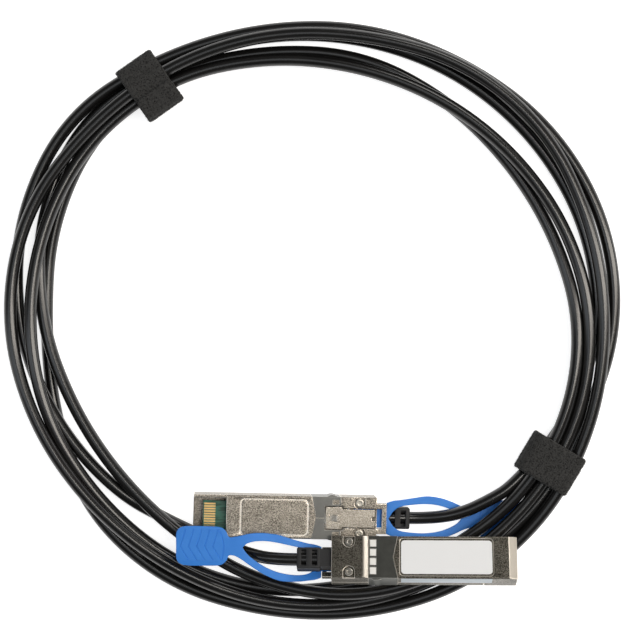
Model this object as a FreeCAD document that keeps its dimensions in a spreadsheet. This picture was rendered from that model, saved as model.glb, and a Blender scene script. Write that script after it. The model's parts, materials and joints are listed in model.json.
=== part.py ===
"""Direct attach copper cable: two small-form plugs on one coiled twinax cable.

Millimetres, +Z up, the table at z = 0, origin midway between the two plugs.
Each plug is modelled in a frame of its own (x from the nose to the cable, y
across, z up on the label side) and then placed: plug A lies latch side up,
plug B label side up and rolled on to the turns of the coil.
"""
import FreeCAD, Part
import Sketcher
import math
import os
import re
from types import SimpleNamespace

Vec = FreeCAD.Vector
doc = FreeCAD.newDocument("direct_attach_cable")

# ---------------------------------------------------------------- driving sizes
SIZES = {
    # plug housing; its height is the stack of what lies one above the other at the rear
    "housing_width": 13.55, "housing_length": 58.0,
    "housing_height": "=lever_thickness + wedge_height + slide_gap + tab_thickness + clamp_room"
                      " + cable_diameter + 2 * clamp_wall + trench_room + top_wall",
    "side_wall": 1.0, "top_wall": 1.05, "floor_wall": 1.2, "seam_z": -1.0,
    "mouth_length": 10.2, "nose_slope": 2.6, "nose_drop": 0.8, "rear_wall": 1.4,
    "corner_radius": 0.45, "fit_gap": 0.1, "clamp_room": 0.47, "trench_room": 0.07,
    # spring collar and the band that it sits in
    "rear_block": 11.6, "band_rear": "=housing_length - rear_block", "band_length": 9.1,
    "band_front": "=band_rear - band_length", "band_depth": 0.25, "chevron_depth": 1.4,
    "collar_wall": 0.25, "window_length": 2.1, "window_margin": 0.4, "window_count": 4,
    "window_front": "=band_rear - window_margin - window_length",
    "window_width": 2.35, "window_pitch": 2.95, "finger_bulge": 0.45, "finger_radius": 3.2,
    # step and screws of the rear block
    "step_front": "=band_rear", "step_length": 1.4, "step_height": 0.35,
    "screw_setback": 5.5, "screw_x": "=housing_length - screw_setback",
    "relief_margin": 0.175, "screw_y": "=housing_width / 2 - relief_radius - relief_margin",
    "screw_radius": 0.8, "head_radius": 1.25, "head_height": 0.55, "relief_radius": 1.75,
    "relief_depth": 0.75,
    # label and panel recesses
    "label_front": 7.8, "label_margin": 1.1, "label_rear": "=band_front - label_margin",
    "side_margin": 1.025, "label_half_width": "=housing_width / 2 - side_margin",
    "label_thickness": 0.1, "label_radius": 1.1, "label_rim": 0.35, "label_recess": 0.15,
    "side_label_height": 4.4, "panel_front": 14.6, "panel_rear": "=label_rear",
    "panel_half_width": "=label_half_width", "panel_depth": 0.22, "panel_radius": 1.3,
    "panel_rim": 0.35,
    # circuit board
    "board_thickness": 1.0, "board_z": -0.6, "board_front": 3.0, "board_rear": "=label_rear",
    "tongue_half_width": 4.6, "ledge_width": 0.75,
    "board_half_width": "=housing_width / 2 - side_wall - ledge_width / 2",
    "pad_count": 10, "pad_pitch": 0.8, "pad_width": 0.52, "pad_length": 3.6,
    "pad_thickness": 0.06, "pad_inset": 0.3,
    "chip_length": 3.0, "chip_width": 2.6, "chip_height": 0.9, "chip_x": 20.0,
    # cable, its clamp and its boot
    "cable_diameter": 4.0,
    "cable_z": "=housing_height / 2 - top_wall - trench_room - clamp_wall - cable_diameter / 2",
    "core_diameter": 1.05, "core_spread": 1.1, "core_overlap": 3.0,
    "clamp_length": 6.4, "clamp_wall": 0.28, "clamp_gap": 0.4,
    "clamp_front": "=housing_length - rear_wall - flange_grip - clamp_gap - clamp_length",
    "boot_width": 6.8, "boot_height": 4.8, "boot_length": 7.6,
    "boot_start": "=bar_front + bar_length + slide_gap", "boot_neck_half_width": 2.9,
    "boot_groove": 1.6, "boot_flange": 1.6, "flange_grip": 1.0, "flange_half_width": 4.2,
    "lead_a": 7.0, "lead_b": 5.5,
    # latch
    "lever_thickness": 0.75, "pivot_setback": 9.1, "pivot_x": "=housing_length - pivot_setback",
    "pivot_rise": 0.85, "pivot_z": "=pivot_rise - housing_height / 2", "pivot_radius": 0.8,
    "pin_radius": 0.45, "pin_grip": 1.45, "pin_half_length": "=plate_half_width + pin_grip",
    "hook_reach": 7.2, "hook_front": "=pivot_x - hook_reach", "hook_length": 5.2,
    "hook_rear": "=hook_front + hook_length", "hook_half_width": 3.5,
    "tooth_inset": 2.4, "tooth_front": "=hook_front + tooth_inset", "tooth_half_width": 1.0,
    "tooth_length": 2.3, "tooth_height": 0.75,
    "plate_setback": 0.6, "plate_rear": "=housing_length - plate_setback",
    "plate_half_width": 2.85, "lever_gap": 0.3, "wedge_reach": 3.0,
    "wedge_front": "=pivot_x + wedge_reach", "wedge_length": 2.5, "wedge_height": 0.5,
    "notch_length": 1.0, "notch_half_width": 0.65, "spring_wall": 0.15,
    "spring_grip": 3.2, "spring_reach": 3.0, "spring_half_width": 1.4,
    # pull tab
    "tab_thickness": 0.9, "slide_gap": 0.2,
    "tab_z": "=lever_thickness + wedge_height + slide_gap + (tab_thickness - housing_height) / 2",
    "cam_length": 0.6, "cam_gap": 0.6, "cam_height": 0.6,
    "tongue_front": "=wedge_front - cam_gap - cam_length", "tab_tongue_half_width": 2.9,
    "tab_travel": 2.5, "bar_gap": 1.6, "bar_front": "=housing_length + bar_gap",
    "bar_length": 1.5, "bar_half_width": "=screw_y", "slot_half_width": 3.2,
    "tail_start": "=boot_start", "tail_length": 45.4, "flex_start": 2.0, "flex_length": 25.0,
    "twist_length": 10.0, "droop_a": 4.7, "droop_b": 6.5, "lean_a": 0.0, "lean_b": -3.1,
    "level_a": -0.0717, "level_b": 0.035, "twist_a": 0.0, "twist_b": -23.0,
    # where the plugs and the coil lie: plug A on its rear edge, plug B beside it on the turns
    "plug_a_x": -50.75, "plug_a_y": 7.58, "plug_a_yaw": -1.5, "plug_a_pitch": 4.1,
    "plug_a_z": "=housing_length * sin(plug_a_pitch)"
                " + (housing_height / 2 + step_height) * cos(plug_a_pitch)",
    "plug_b_x": 51.0, "plug_gap": 0.5, "plug_b_y": "=plug_a_y - housing_width - plug_gap",
    "plug_b_pitch": 2.0, "plug_b_roll": 23.0, "plug_b_rest": 8.49,
    "plug_b_z": "=plug_b_rest + housing_width / 2 * sin(plug_b_roll)"
                " + housing_height / 2 * cos(plug_b_roll)",
    "coil_x": -12.2, "coil_y": 68.53, "coil_height": 9.5, "coil_room": 0.4,
    # tie straps
    "strap_width": 13.6, "strap_span": 18.4, "strap_wall": 1.7, "strap_skin": 1.1,
    "strap_a_height": 12.0, "strap_a_angle": 125.0, "strap_a_radius": 91.9,
    "strap_b_height": 10.6, "strap_b_angle": -31.0, "strap_b_radius": 87.6,
}

sheet = doc.addObject("Spreadsheet::Sheet", "Sizes")
for row, alias in enumerate(SIZES, start=1):
    sheet.set(f"A{row}", alias)
    sheet.setAlias(f"B{row}", alias)
for row, value in enumerate(SIZES.values(), start=1):
    sheet.set(f"B{row}", str(value))
doc.recompute()
size = SimpleNamespace(**{alias: float(sheet.get(alias)) for alias in SIZES})


def bound(text):
    """Return an expression with each size word pointed at its cell of the sheet."""
    return re.sub(r"[a-z][a-z_]+", lambda word: f"Sizes.{word.group()}", str(text))


def bind(item, **expressions):
    """Bind properties of an object; a double underscore stands for a dot."""
    for name, text in expressions.items():
        item.setExpression(name.replace("__", "."), bound(text))
    return item


# ------------------------------------------------------------- solid-making helpers
def box(name, x_span, y_span, z_span):
    """Make a block from the expressions of its two ends along each axis."""
    block = doc.addObject("Part::Box", name)
    for axis, side, span in zip("xyz", ("Length", "Width", "Height"), (x_span, y_span, z_span)):
        bind(block, **{side: f"({span[1]}) - ({span[0]})", f"Placement__Base__{axis}": span[0]})
    return block


def both_sides(name, x_span, y_span, z_span):
    """Make two like blocks, mirrored across the plug's middle plane."""
    low, high = y_span
    return [box(f"{name}_left", x_span, (low, high), z_span),
            box(f"{name}_right", x_span, (f"-({high})", f"-({low})"), z_span)]


def cylinder(name, axis, centre, radius, length):
    """Make a round bar that starts at centre and runs along an axis of the plug."""
    bar = doc.addObject("Part::Cylinder", name)
    turn = {"x": FreeCAD.Rotation(Vec(0, 1, 0), 90), "y": FreeCAD.Rotation(Vec(1, 0, 0), -90),
            "z": FreeCAD.Rotation()}[axis]
    bar.Placement = FreeCAD.Placement(Vec(0, 0, 0), turn)
    return bind(bar, Radius=radius, Height=length, Placement__Base__x=centre[0],
                Placement__Base__y=centre[1], Placement__Base__z=centre[2])


def sketch(name, plane, corners):
    """Draw a closed polygon on plane XY or XZ, each corner bound to two expressions."""
    drawing = doc.addObject("Sketcher::SketchObject", name)
    count = len(corners)
    for index in range(count):
        angle = 2 * math.pi * index / count
        after = 2 * math.pi * (index + 1) / count
        drawing.addGeometry(Part.LineSegment(Vec(math.cos(angle), math.sin(angle), 0),
                                             Vec(math.cos(after), math.sin(after), 0)), False)
    for index in range(count):
        drawing.addConstraint(
            Sketcher.Constraint("Coincident", index, 2, (index + 1) % count, 1))
    for index, corner in enumerate(corners):
        for kind, place in zip(("DistanceX", "DistanceY"), corner):
            held = drawing.addConstraint(Sketcher.Constraint(kind, -1, 1, index, 1, 0.0))
            drawing.setExpression(f"Constraints[{held}]", bound(place))
    if plane == "XZ":
        drawing.Placement = FreeCAD.Placement(Vec(0, 0, 0), FreeCAD.Rotation(Vec(1, 0, 0), 90))
    return drawing


def prism(name, plane, corners, start, length):
    """Extrude a bound polygon: XZ outlines run along +y, XY outlines along +z."""
    solid = doc.addObject("Part::Extrusion", name)
    solid.Base = sketch(f"{name}_outline", plane, corners)
    solid.DirMode = "Custom"
    solid.Dir = Vec(0, 1, 0) if plane == "XZ" else Vec(0, 0, 1)
    solid.Solid = True
    axis = "y" if plane == "XZ" else "z"
    return bind(solid, LengthFwd=length, **{f"Placement__Base__{axis}": start})


def fused(name, pieces):
    """Join solids into one."""
    joined = doc.addObject("Part::MultiFuse", name)
    joined.Shapes = pieces
    joined.Refine = True
    return joined


def cut(name, base, tools):
    """Take a list of tools away from a base."""
    result = doc.addObject("Part::Cut", name)
    result.Base = base
    result.Tool = tools[0] if len(tools) == 1 else fused(f"{name}_tools", tools)
    result.Refine = True
    return result


def rounded(name, base, radius, wanted):
    """Round the edges that wanted(edge) picks out of a base."""
    doc.recompute()
    picked = [(number, radius, radius) for number, edge in enumerate(base.Shape.Edges, start=1)
              if wanted(edge)]
    result = doc.addObject("Part::Fillet", name)
    result.Base = base
    result.Edges = picked
    return result


def along(edge, axis):
    """Tell whether a straight edge runs along a unit vector."""
    if not isinstance(edge.Curve, Part.Line):
        return False
    return abs(abs(edge.tangentAt(edge.FirstParameter).dot(axis)) - 1.0) < 1e-6


def place(solids, label, plug):
    """Group the solids of a finished piece and put them where their plug lies."""
    piece = doc.addObject("Part::Compound", f"{label}_{plug.letter}_piece")
    piece.Links = solids
    piece.Label = f"{label}_{plug.letter}"
    piece.Placement = plug.placement
    finished.append(piece)


finished = []


# ------------------------------------------------------------------- plug housing
def upper_shell(plug):
    """Die-cast cover on the label side, with the open nose and the stepped rear block."""
    tag = f"cover_{plug.letter}"
    top, half = "housing_height / 2", "housing_width / 2"
    inner = f"{half} - side_wall"
    outer = box(f"{tag}_block", ("0", "housing_length"), (f"-{half}", half), ("seam_z", top))
    cheeks = both_sides(f"{tag}_cheek", ("0", "mouth_length"), (inner, half),
                        (f"-{top}", "seam_z"))
    step = prism(f"{tag}_step", "XZ", [
        ("step_front", f"{top} - 1"), ("step_front", top),
        ("step_front + step_length", f"{top} + step_height"),
        ("housing_length", f"{top} + step_height"), ("housing_length", f"{top} - 1")],
        f"-{half}", "housing_width")
    outer = rounded(f"{tag}_rounded", outer, size.corner_radius, lambda edge: (
        along(edge, Vec(1, 0, 0)) and edge.Vertexes[0].Z > size.housing_height / 2 - 1e-6))
    crest = size.housing_height / 2 + size.step_height - 1e-6
    step = rounded(f"{tag}_crest", step, size.corner_radius, lambda edge: (
        along(edge, Vec(1, 0, 0)) and edge.Vertexes[0].Z > crest
        and edge.Vertexes[1].Z > crest))
    solid = fused(f"{tag}_solid", [outer, step] + cheeks)
    cavity = box(f"{tag}_cavity", ("-1", "clamp_front - fit_gap"), (f"-({inner})", inner),
                 (f"-{top} - 1", f"{top} - top_wall"))
    slope = prism(f"{tag}_slope", "XZ", [
        ("-1", f"{top} - nose_drop - nose_drop / nose_slope"), ("-1", f"{top} + 1"),
        ("nose_slope + nose_slope / nose_drop", f"{top} + 1")], f"-{half} - 1",
        "housing_width + 2")
    trench = box(f"{tag}_trench", ("clamp_front - 1", "housing_length - rear_wall"),
                 ("-(cable_diameter / 2 + clamp_wall + fit_gap)",
                  "cable_diameter / 2 + clamp_wall + fit_gap"),
                 ("seam_z - 1", f"{top} - top_wall"))
    door = box(f"{tag}_door", ("housing_length - rear_wall - 1", "housing_length + 1"),
               ("-(boot_neck_half_width + fit_gap / 2)", "boot_neck_half_width + fit_gap / 2"),
               ("seam_z - 1", "cable_z + boot_height / 2 + fit_gap / 2"))
    seat = box(f"{tag}_seat", ("housing_length - rear_wall - flange_grip - fit_gap",
                               "housing_length - rear_wall"),
               ("-(flange_half_width + fit_gap / 2)", "flange_half_width + fit_gap / 2"),
               ("seam_z - 1", "cable_z + boot_height / 2 + fit_gap / 2"))
    recess = box(f"{tag}_label_recess", ("label_front - label_rim", "label_rear + label_rim"),
                 ("-(label_half_width + label_rim / 2)", "label_half_width + label_rim / 2"),
                 (f"{top} - label_recess", f"{top} + 1"))
    recess = rounded(f"{tag}_label_field", recess, size.label_radius,
                     lambda edge: along(edge, Vec(0, 0, 1)))
    flare = "band_front - 2 * chevron_depth / housing_width"
    band = prism(f"{tag}_band", "XY", [
        ("band_rear", f"{half} + 1"), ("band_rear", f"-{half} - 1"),
        (flare, f"-{half} - 1"), ("band_front + chevron_depth", "0"), (flare, f"{half} + 1")],
        f"{top} - band_depth", "1")
    side_bands = both_sides(f"{tag}_side_band", ("band_front", "band_rear"),
                            (f"{half} - band_depth", f"{half} + 1"), ("seam_z - 1", f"{top} + 1"))
    tools = [cavity, slope, trench, door, seat, recess, band] + side_bands
    for sign, side in ((1, "left"), (-1, "right")):
        tools += screw_cuts(f"{tag}_{side}", sign, f"{top} + step_height", 1)
    place([cut(f"{tag}_shell", solid, tools)], "upper_shell", plug)


def screw_cuts(tag, side, face, up):
    """Cut a hole for a screw and the relief, open to the side, that its head lies in."""
    centre = f"{side} * screw_y"
    floor = f"{face} - {up} * relief_depth"
    low = floor if up > 0 else f"{face} - 1"
    hole = cylinder(f"{tag}_hole", "z", ("screw_x", centre, "-housing_height"),
                    "screw_radius + fit_gap / 2", "2 * housing_height")
    ring = cylinder(f"{tag}_ring", "z", ("screw_x", centre, low), "relief_radius",
                    "relief_depth + 1")
    span = (centre, "housing_width") if side > 0 else ("-housing_width", centre)
    mouth = box(f"{tag}_mouth", ("screw_x - relief_radius", "screw_x + relief_radius"), span,
                (low, f"{low} + relief_depth + 1"))
    return [hole, ring, mouth]


def lower_shell(plug):
    """Die-cast base on the latch side: panel, lever slot, card ledges and the rear bar."""
    tag = f"base_{plug.letter}"
    low, half = "-housing_height / 2", "housing_width / 2"
    inner = f"{half} - side_wall"
    deck = f"{low} + floor_wall"
    outer = box(f"{tag}_block", ("mouth_length + fit_gap", "housing_length"),
                (f"-{half}", half), (low, "seam_z"))
    edges = rounded(f"{tag}_rounded", outer, size.corner_radius, lambda edge: (
        along(edge, Vec(1, 0, 0)) and edge.Vertexes[0].Z < -size.housing_height / 2 + 1e-6))
    frame = box(f"{tag}_frame", ("housing_length - 1", "bar_front + bar_length"),
                ("-bar_half_width", "bar_half_width"), (low, "tab_z + tab_thickness / 2"))
    solid = fused(f"{tag}_solid", [edges, frame])
    cavity = box(f"{tag}_cavity", ("mouth_length - 1", "tongue_front - 2"),
                 (f"-({inner})", inner), (deck, "seam_z + 1"))
    ledges = both_sides(f"{tag}_ledge", ("mouth_length + 2", "board_rear"),
                        (f"{inner} - ledge_width", inner),
                        (deck, "board_z - board_thickness / 2"))
    tongue_way = box(f"{tag}_tongue_way", ("tongue_front - 3", "bar_front + bar_length + 1"),
                     ("-slot_half_width", "slot_half_width"),
                     ("tab_z - tab_thickness / 2 - slide_gap", "seam_z + 1"))
    lever_way = box(f"{tag}_lever_way", ("hook_rear", "housing_length - fit_gap * 4"),
                    ("-(plate_half_width + lever_gap)", "plate_half_width + lever_gap"),
                    (f"{low} - 1", "seam_z"))
    hook_way = box(f"{tag}_hook_way", ("hook_front - lever_gap", "hook_rear + lever_gap"),
                   ("-(hook_half_width + lever_gap)", "hook_half_width + lever_gap"),
                   (f"{low} - 1", "seam_z"))
    slot = box(f"{tag}_slot", ("housing_length", "bar_front"),
               ("-slot_half_width", "slot_half_width"), (f"{low} - 1", "seam_z"))
    panel = box(f"{tag}_panel", ("panel_front", "panel_rear"),
                ("-panel_half_width", "panel_half_width"), (f"{low} - 1", f"{low} + panel_depth"))
    panel = rounded(f"{tag}_panel_field", panel, size.panel_radius,
                    lambda edge: along(edge, Vec(0, 0, 1)))
    island = box(f"{tag}_island", ("panel_front + panel_rim", "panel_rear - panel_rim"),
                 ("-panel_half_width + panel_rim", "panel_half_width - panel_rim"),
                 (f"{low} + panel_depth / 3", deck))
    island = rounded(f"{tag}_island_field", island, size.panel_radius,
                     lambda edge: along(edge, Vec(0, 0, 1)))
    flare = "band_front - 2 * chevron_depth / housing_width"
    band = prism(f"{tag}_band", "XY", [
        ("band_rear", f"{half} + 1"), ("band_rear", f"-{half} - 1"),
        (flare, f"-{half} - 1"), ("band_front + chevron_depth", "0"), (flare, f"{half} + 1")],
        f"{low} + band_depth - 1", "1")
    side_bands = both_sides(f"{tag}_side_band", ("band_front", "band_rear"),
                            (f"{half} - band_depth", f"{half} + 1"), (f"{low} - 1", "seam_z + 1"))
    pin_way = cylinder(f"{tag}_pin_way", "y", ("pivot_x", "-(pin_half_length)", "pivot_z"),
                       "pin_radius", "2 * pin_half_length")
    door = box(f"{tag}_door", ("housing_length - rear_wall - flange_grip - fit_gap",
                               "housing_length + 1"),
               ("-(boot_neck_half_width + fit_gap / 2)", "boot_neck_half_width + fit_gap / 2"),
               ("cable_z - boot_height / 2 - fit_gap / 2", "seam_z + 1"))
    tools = [cavity, tongue_way, lever_way, hook_way, slot, panel, band, pin_way, door]
    tools += side_bands
    for sign, side in ((1, "left"), (-1, "right")):
        tools += screw_cuts(f"{tag}_{side}", sign, low, -1)
    shell = cut(f"{tag}_open", solid, tools)
    place([fused(f"{tag}_shell", [shell, island] + ledges)], "lower_shell", plug)


def screws(plug):
    """Four small screws, two from each face, as one group of separate solids."""
    tag = f"screw_{plug.letter}"
    solids = []
    for face, up in (("housing_height / 2 + step_height", 1), ("-housing_height / 2", -1)):
        for side in (1, -1):
            name = f"{tag}_{'top' if up > 0 else 'low'}_{'left' if side > 0 else 'right'}"
            seat = f"{face} - {up} * relief_depth"
            centre = ("screw_x", f"{side} * screw_y")
            length = "housing_height / 2 - relief_depth - fit_gap"
            head = cylinder(f"{name}_head", "z",
                            centre + (seat if up > 0 else f"{seat} - head_height",),
                            "head_radius", "head_height")
            start = f"{seat} - ({length})" if up > 0 else seat
            shank = cylinder(f"{name}_shank", "z", centre + (start,), "screw_radius", length)
            slot_low = f"{seat} + head_height / 2" if up > 0 else f"{seat} - head_height - 1"
            socket = cylinder(f"{name}_socket", "z", centre + (slot_low,), "head_radius / 2.4",
                              "head_height / 2 + 1")
            solids.append(cut(name, fused(f"{name}_body", [head, shank]), [socket]))
    place(solids, "screws", plug)


# ------------------------------------------------------------------ spring collar
def spring_collar(plug):
    """Folded spring sheet round the housing, with windows and side fingers."""
    tag = f"collar_{plug.letter}"
    top, half = "housing_height / 2", "housing_width / 2"
    proud = "collar_wall - band_depth"
    outer = box(f"{tag}_outer", ("band_front", "band_rear"),
                (f"-({half} + {proud})", f"{half} + {proud}"),
                (f"-({top} + {proud})", f"{top} + {proud}"))
    fingers = []
    for side, sign in (("left", 1), ("right", -1)):
        bar = cylinder(f"{tag}_{side}_bar", "z",
                       ("window_front", f"{sign} * ({half} + finger_bulge - finger_radius)",
                        f"-{top} + 1.1"), "finger_radius", "housing_height - 2.2")
        keep = box(f"{tag}_{side}_keep", ("window_front - 2.4", "band_rear - fit_gap"),
                   (f"{half} - band_depth", f"{half} + 1") if sign > 0
                   else (f"-({half} + 1)", f"-({half} - band_depth)"),
                   (f"-{top}", top))
        finger = doc.addObject("Part::Common", f"{tag}_{side}_finger")
        finger.Base, finger.Tool = bar, keep
        fingers.append(finger)
    inner = box(f"{tag}_inner", ("band_front - 1", "band_rear + 1"),
                (f"-({half} - band_depth)", f"{half} - band_depth"),
                (f"-({top} - band_depth)", f"{top} - band_depth"))
    chevron = prism(f"{tag}_chevron", "XY", [
        ("band_front - 1", f"{half}"), ("band_front - 1", f"-{half}"),
        ("band_front", f"-{half}"), ("band_front + chevron_depth", "0"),
        ("band_front", f"{half}")], "-housing_height", "2 * housing_height")
    seam = box(f"{tag}_seam", ("band_front - 1", "band_rear + 1"), ("-0.06", "0.06"),
               (f"-{top} - 1", "0"))
    latch_way = box(f"{tag}_latch_way", ("hook_front - lever_gap", "band_rear + 1"),
                    ("-(hook_half_width + lever_gap)", "hook_half_width + lever_gap"),
                    (f"-{top} - 1", "0"))
    tools = [inner, chevron, seam, latch_way]
    for index in range(int(size.window_count)):
        centre = f"({index} - (window_count - 1) / 2) * window_pitch"
        tools.append(box(f"{tag}_window_{index}", ("window_front", "window_front + window_length"),
                         (f"{centre} - window_width / 2", f"{centre} + window_width / 2"),
                         ("0", f"{top} + 1")))
    tools += both_sides(f"{tag}_low_window", ("window_front", "window_front + window_length"),
                        ("hook_half_width + lever_gap + 0.55", f"{half} - 0.95"),
                        (f"-{top} - 1", "0"))
    place([fused(f"{tag}_sheet", [cut(f"{tag}_sleeve", outer, tools)] + fingers)],
          "spring_collar", plug)


# ------------------------------------------------------------ circuit board and cores
def circuit_board(plug):
    """Paddle card with a narrow tongue for the host connector."""
    tag = f"board_{plug.letter}"
    levels = ("board_z - board_thickness / 2", "board_z + board_thickness / 2")
    tongue = box(f"{tag}_tongue", ("board_front", "mouth_length + 2"),
                 ("-tongue_half_width", "tongue_half_width"), levels)
    wide = box(f"{tag}_wide", ("mouth_length + 1", "board_rear"),
               ("-board_half_width", "board_half_width"), levels)
    place([fused(f"{tag}_card", [tongue, wide])], "circuit_board", plug)


def contact_pads(plug):
    """Gold fingers on both faces of the card, one group of separate solids."""
    tag = f"pads_{plug.letter}"
    pads = []
    for face, low in (("top", "board_z + board_thickness / 2"),
                      ("low", "board_z - board_thickness / 2 - pad_thickness")):
        for index in range(int(size.pad_count)):
            centre = f"({index} - (pad_count - 1) / 2) * pad_pitch"
            pads.append(box(f"{tag}_{face}_{index}",
                            ("board_front + pad_inset",
                             "board_front + pad_inset + pad_length"),
                            (f"{centre} - pad_width / 2", f"{centre} + pad_width / 2"),
                            (low, f"{low} + pad_thickness")))
    place(pads, "contact_pads", plug)


def memory_chip(plug):
    """Identity memory on the card."""
    low = "board_z + board_thickness / 2"
    chip = box(f"chip_{plug.letter}", ("chip_x", "chip_x + chip_length"),
               ("-chip_width / 2", "chip_width / 2"), (low, f"{low} + chip_height"))
    place([chip], "memory_chip", plug)


def signal_cores(plug):
    """Four insulated cores from the card to the end of the jacket."""
    tag = f"cores_{plug.letter}"
    lie = "board_z + board_thickness / 2 + core_diameter / 2"
    cores = [cylinder(f"{tag}_{index}", "x",
                      ("board_rear - core_overlap", f"({index} - 1.5) * core_spread", lie),
                      "core_diameter / 2", "clamp_front - board_rear + core_overlap")
             for index in range(4)]
    place(cores, "signal_cores", plug)


# ------------------------------------------------------------- cable clamp and boot
def cable_clamp(plug):
    """Crimped sleeve that grips the jacket inside the rear block."""
    tag = f"clamp_{plug.letter}"
    centre = ("clamp_front", "0", "cable_z")
    sleeve = cylinder(f"{tag}_sleeve", "x", centre, "cable_diameter / 2 + clamp_wall",
                      "clamp_length")
    bore = cylinder(f"{tag}_bore", "x", centre, "cable_diameter / 2", "clamp_length")
    place([cut(f"{tag}_ring", sleeve, [bore])], "cable_clamp", plug)


def cable_root(plug):
    """Clamped end of the cable, from the clamp to the end of the boot."""
    root = cylinder(f"root_{plug.letter}", "x", ("clamp_front", "0", "cable_z"),
                    "cable_diameter / 2", "boot_start + boot_length - clamp_front")
    place([root], "cable_root", plug)


def boot(plug):
    """Moulded strain relief: a flange held by the shells and three grooved collars."""
    tag = f"boot_{plug.letter}"
    low, high = "cable_z - boot_height / 2", "cable_z + boot_height / 2"
    flange = box(f"{tag}_flange", ("housing_length - rear_wall - flange_grip",
                                   "housing_length - rear_wall"),
                 ("-flange_half_width", "flange_half_width"), ("seam_z", high))
    neck = box(f"{tag}_neck", ("housing_length - rear_wall - flange_grip", "boot_start"),
               ("-boot_neck_half_width", "boot_neck_half_width"), (low, high))
    block = box(f"{tag}_block", ("boot_start", "boot_start + boot_length"),
                ("-boot_width / 2", "boot_width / 2"), (low, high))
    grooves = []
    for index in range(2):
        front = f"boot_start + boot_flange / 2 + {index} * (boot_groove + boot_flange)"
        grooves += both_sides(f"{tag}_groove_{index}", (front, f"{front} + boot_groove"),
                              ("boot_width / 2 - 1.5", "boot_width / 2 + 1"),
                              (f"{low} - 1", f"{high} + 1"))
    bore = cylinder(f"{tag}_bore", "x", ("clamp_front", "0", "cable_z"), "cable_diameter / 2",
                    "boot_start + boot_length")
    solid = fused(f"{tag}_solid", [flange, neck, block])
    place([cut(f"{tag}_body", solid, grooves + [bore])], "strain_relief", plug)


# -------------------------------------------------------------------------- latch
def latch_lever(plug):
    """Rocking lever: hook with its tooth in front of the pivot, plate behind it."""
    tag = f"lever_{plug.letter}"
    low = "-housing_height / 2"
    high = f"{low} + lever_thickness"
    hook = box(f"{tag}_hook", ("hook_front", "hook_rear"),
               ("-hook_half_width", "hook_half_width"), (low, high))
    plate = box(f"{tag}_plate", ("hook_rear - 0.4", "plate_rear"),
                ("-plate_half_width", "plate_half_width"), (low, high))
    tooth = prism(f"{tag}_tooth", "XZ", [
        ("tooth_front", low), ("tooth_front + tooth_length", low),
        ("tooth_front + tooth_length", f"{low} - tooth_height"),
        ("tooth_front + tooth_length / 2", f"{low} - tooth_height")],
        "-tooth_half_width", "2 * tooth_half_width")
    barrel = cylinder(f"{tag}_barrel", "y", ("pivot_x", "-plate_half_width", "pivot_z"),
                      "pivot_radius", "2 * plate_half_width")
    wedge = prism(f"{tag}_wedge", "XZ", [
        ("wedge_front", high), ("wedge_front + wedge_length", f"{high} + wedge_height"),
        ("wedge_front + wedge_length + 0.5", f"{high} + wedge_height"),
        ("wedge_front + wedge_length + 0.5", high)],
        "-tab_tongue_half_width + 0.4", "2 * tab_tongue_half_width - 0.8")
    pin_way = cylinder(f"{tag}_pin_way", "y", ("pivot_x", "-plate_half_width - 1", "pivot_z"),
                       "pin_radius + 0.05", "2 * plate_half_width + 2")
    notch = box(f"{tag}_notch", ("plate_rear - notch_length", "plate_rear + 1"),
                ("-notch_half_width", "notch_half_width"), (f"{low} - 1", high))
    slits = both_sides(f"{tag}_slit", ("tooth_front - 1.2", "hook_rear - 0.6"),
                       ("tooth_half_width", "tooth_half_width + 0.3"),
                       (f"{low} - 1", f"{low} + lever_thickness / 2"))
    body = fused(f"{tag}_solid", [hook, plate, tooth, barrel, wedge])
    place([cut(f"{tag}_body", body, [pin_way, notch] + slits)], "latch_lever", plug)


def latch_pin(plug):
    """Pivot pin of the lever, pressed into the base."""
    pin = cylinder(f"pin_{plug.letter}", "y", ("pivot_x", "-pin_half_length", "pivot_z"),
                   "pin_radius", "2 * pin_half_length")
    place([pin], "latch_pin", plug)


def latch_spring(plug):
    """Leaf spring that holds the hook out."""
    tag = f"spring_{plug.letter}"
    deck, high = "-housing_height / 2 + floor_wall", "-housing_height / 2 + lever_thickness"
    leaf = prism(f"{tag}_leaf", "XZ", [
        ("hook_front - spring_grip", deck), ("hook_front - lever_gap", deck),
        ("hook_front + spring_reach", high),
        ("hook_front + spring_reach", f"{high} + spring_wall"),
        ("hook_front - lever_gap", f"{deck} + spring_wall"),
        ("hook_front - spring_grip", f"{deck} + spring_wall")], "-spring_half_width",
        "2 * spring_half_width")
    place([leaf], "latch_spring", plug)


# ----------------------------------------------------------------------- pull tab
# Distance behind the tail's start, inner and outer half width of the finger loop.
LOOP_OUTLINE = ((0.0, 0.0, 4.9), (0.6, 0.0, 5.2), (2.2, 2.4, 5.7), (4.6, 3.9, 6.0),
                (9.0, 4.5, 6.65), (13.0, 4.65, 7.15), (17.0, 4.2, 6.7), (20.5, 3.1, 5.7),
                (23.2, 1.6, 4.6), (24.6, 0.0, 3.9), (27.0, 0.0, 3.0), (29.0, 0.0, 2.8))
# Distance behind the tail's start and half width of the grip pad.
PAD_OUTLINE = ((29.0, 2.8), (29.9, 4.6), (31.2, 5.8), (33.0, 6.2), (42.5, 6.2), (44.3, 5.7),
               (45.1, 4.9), (45.4, 4.2))


def eased(share):
    """Go smoothly from 0 to 1 as share does, and stay there."""
    share = min(1.0, max(0.0, share))
    return share * share * (3 - 2 * share)


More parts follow.
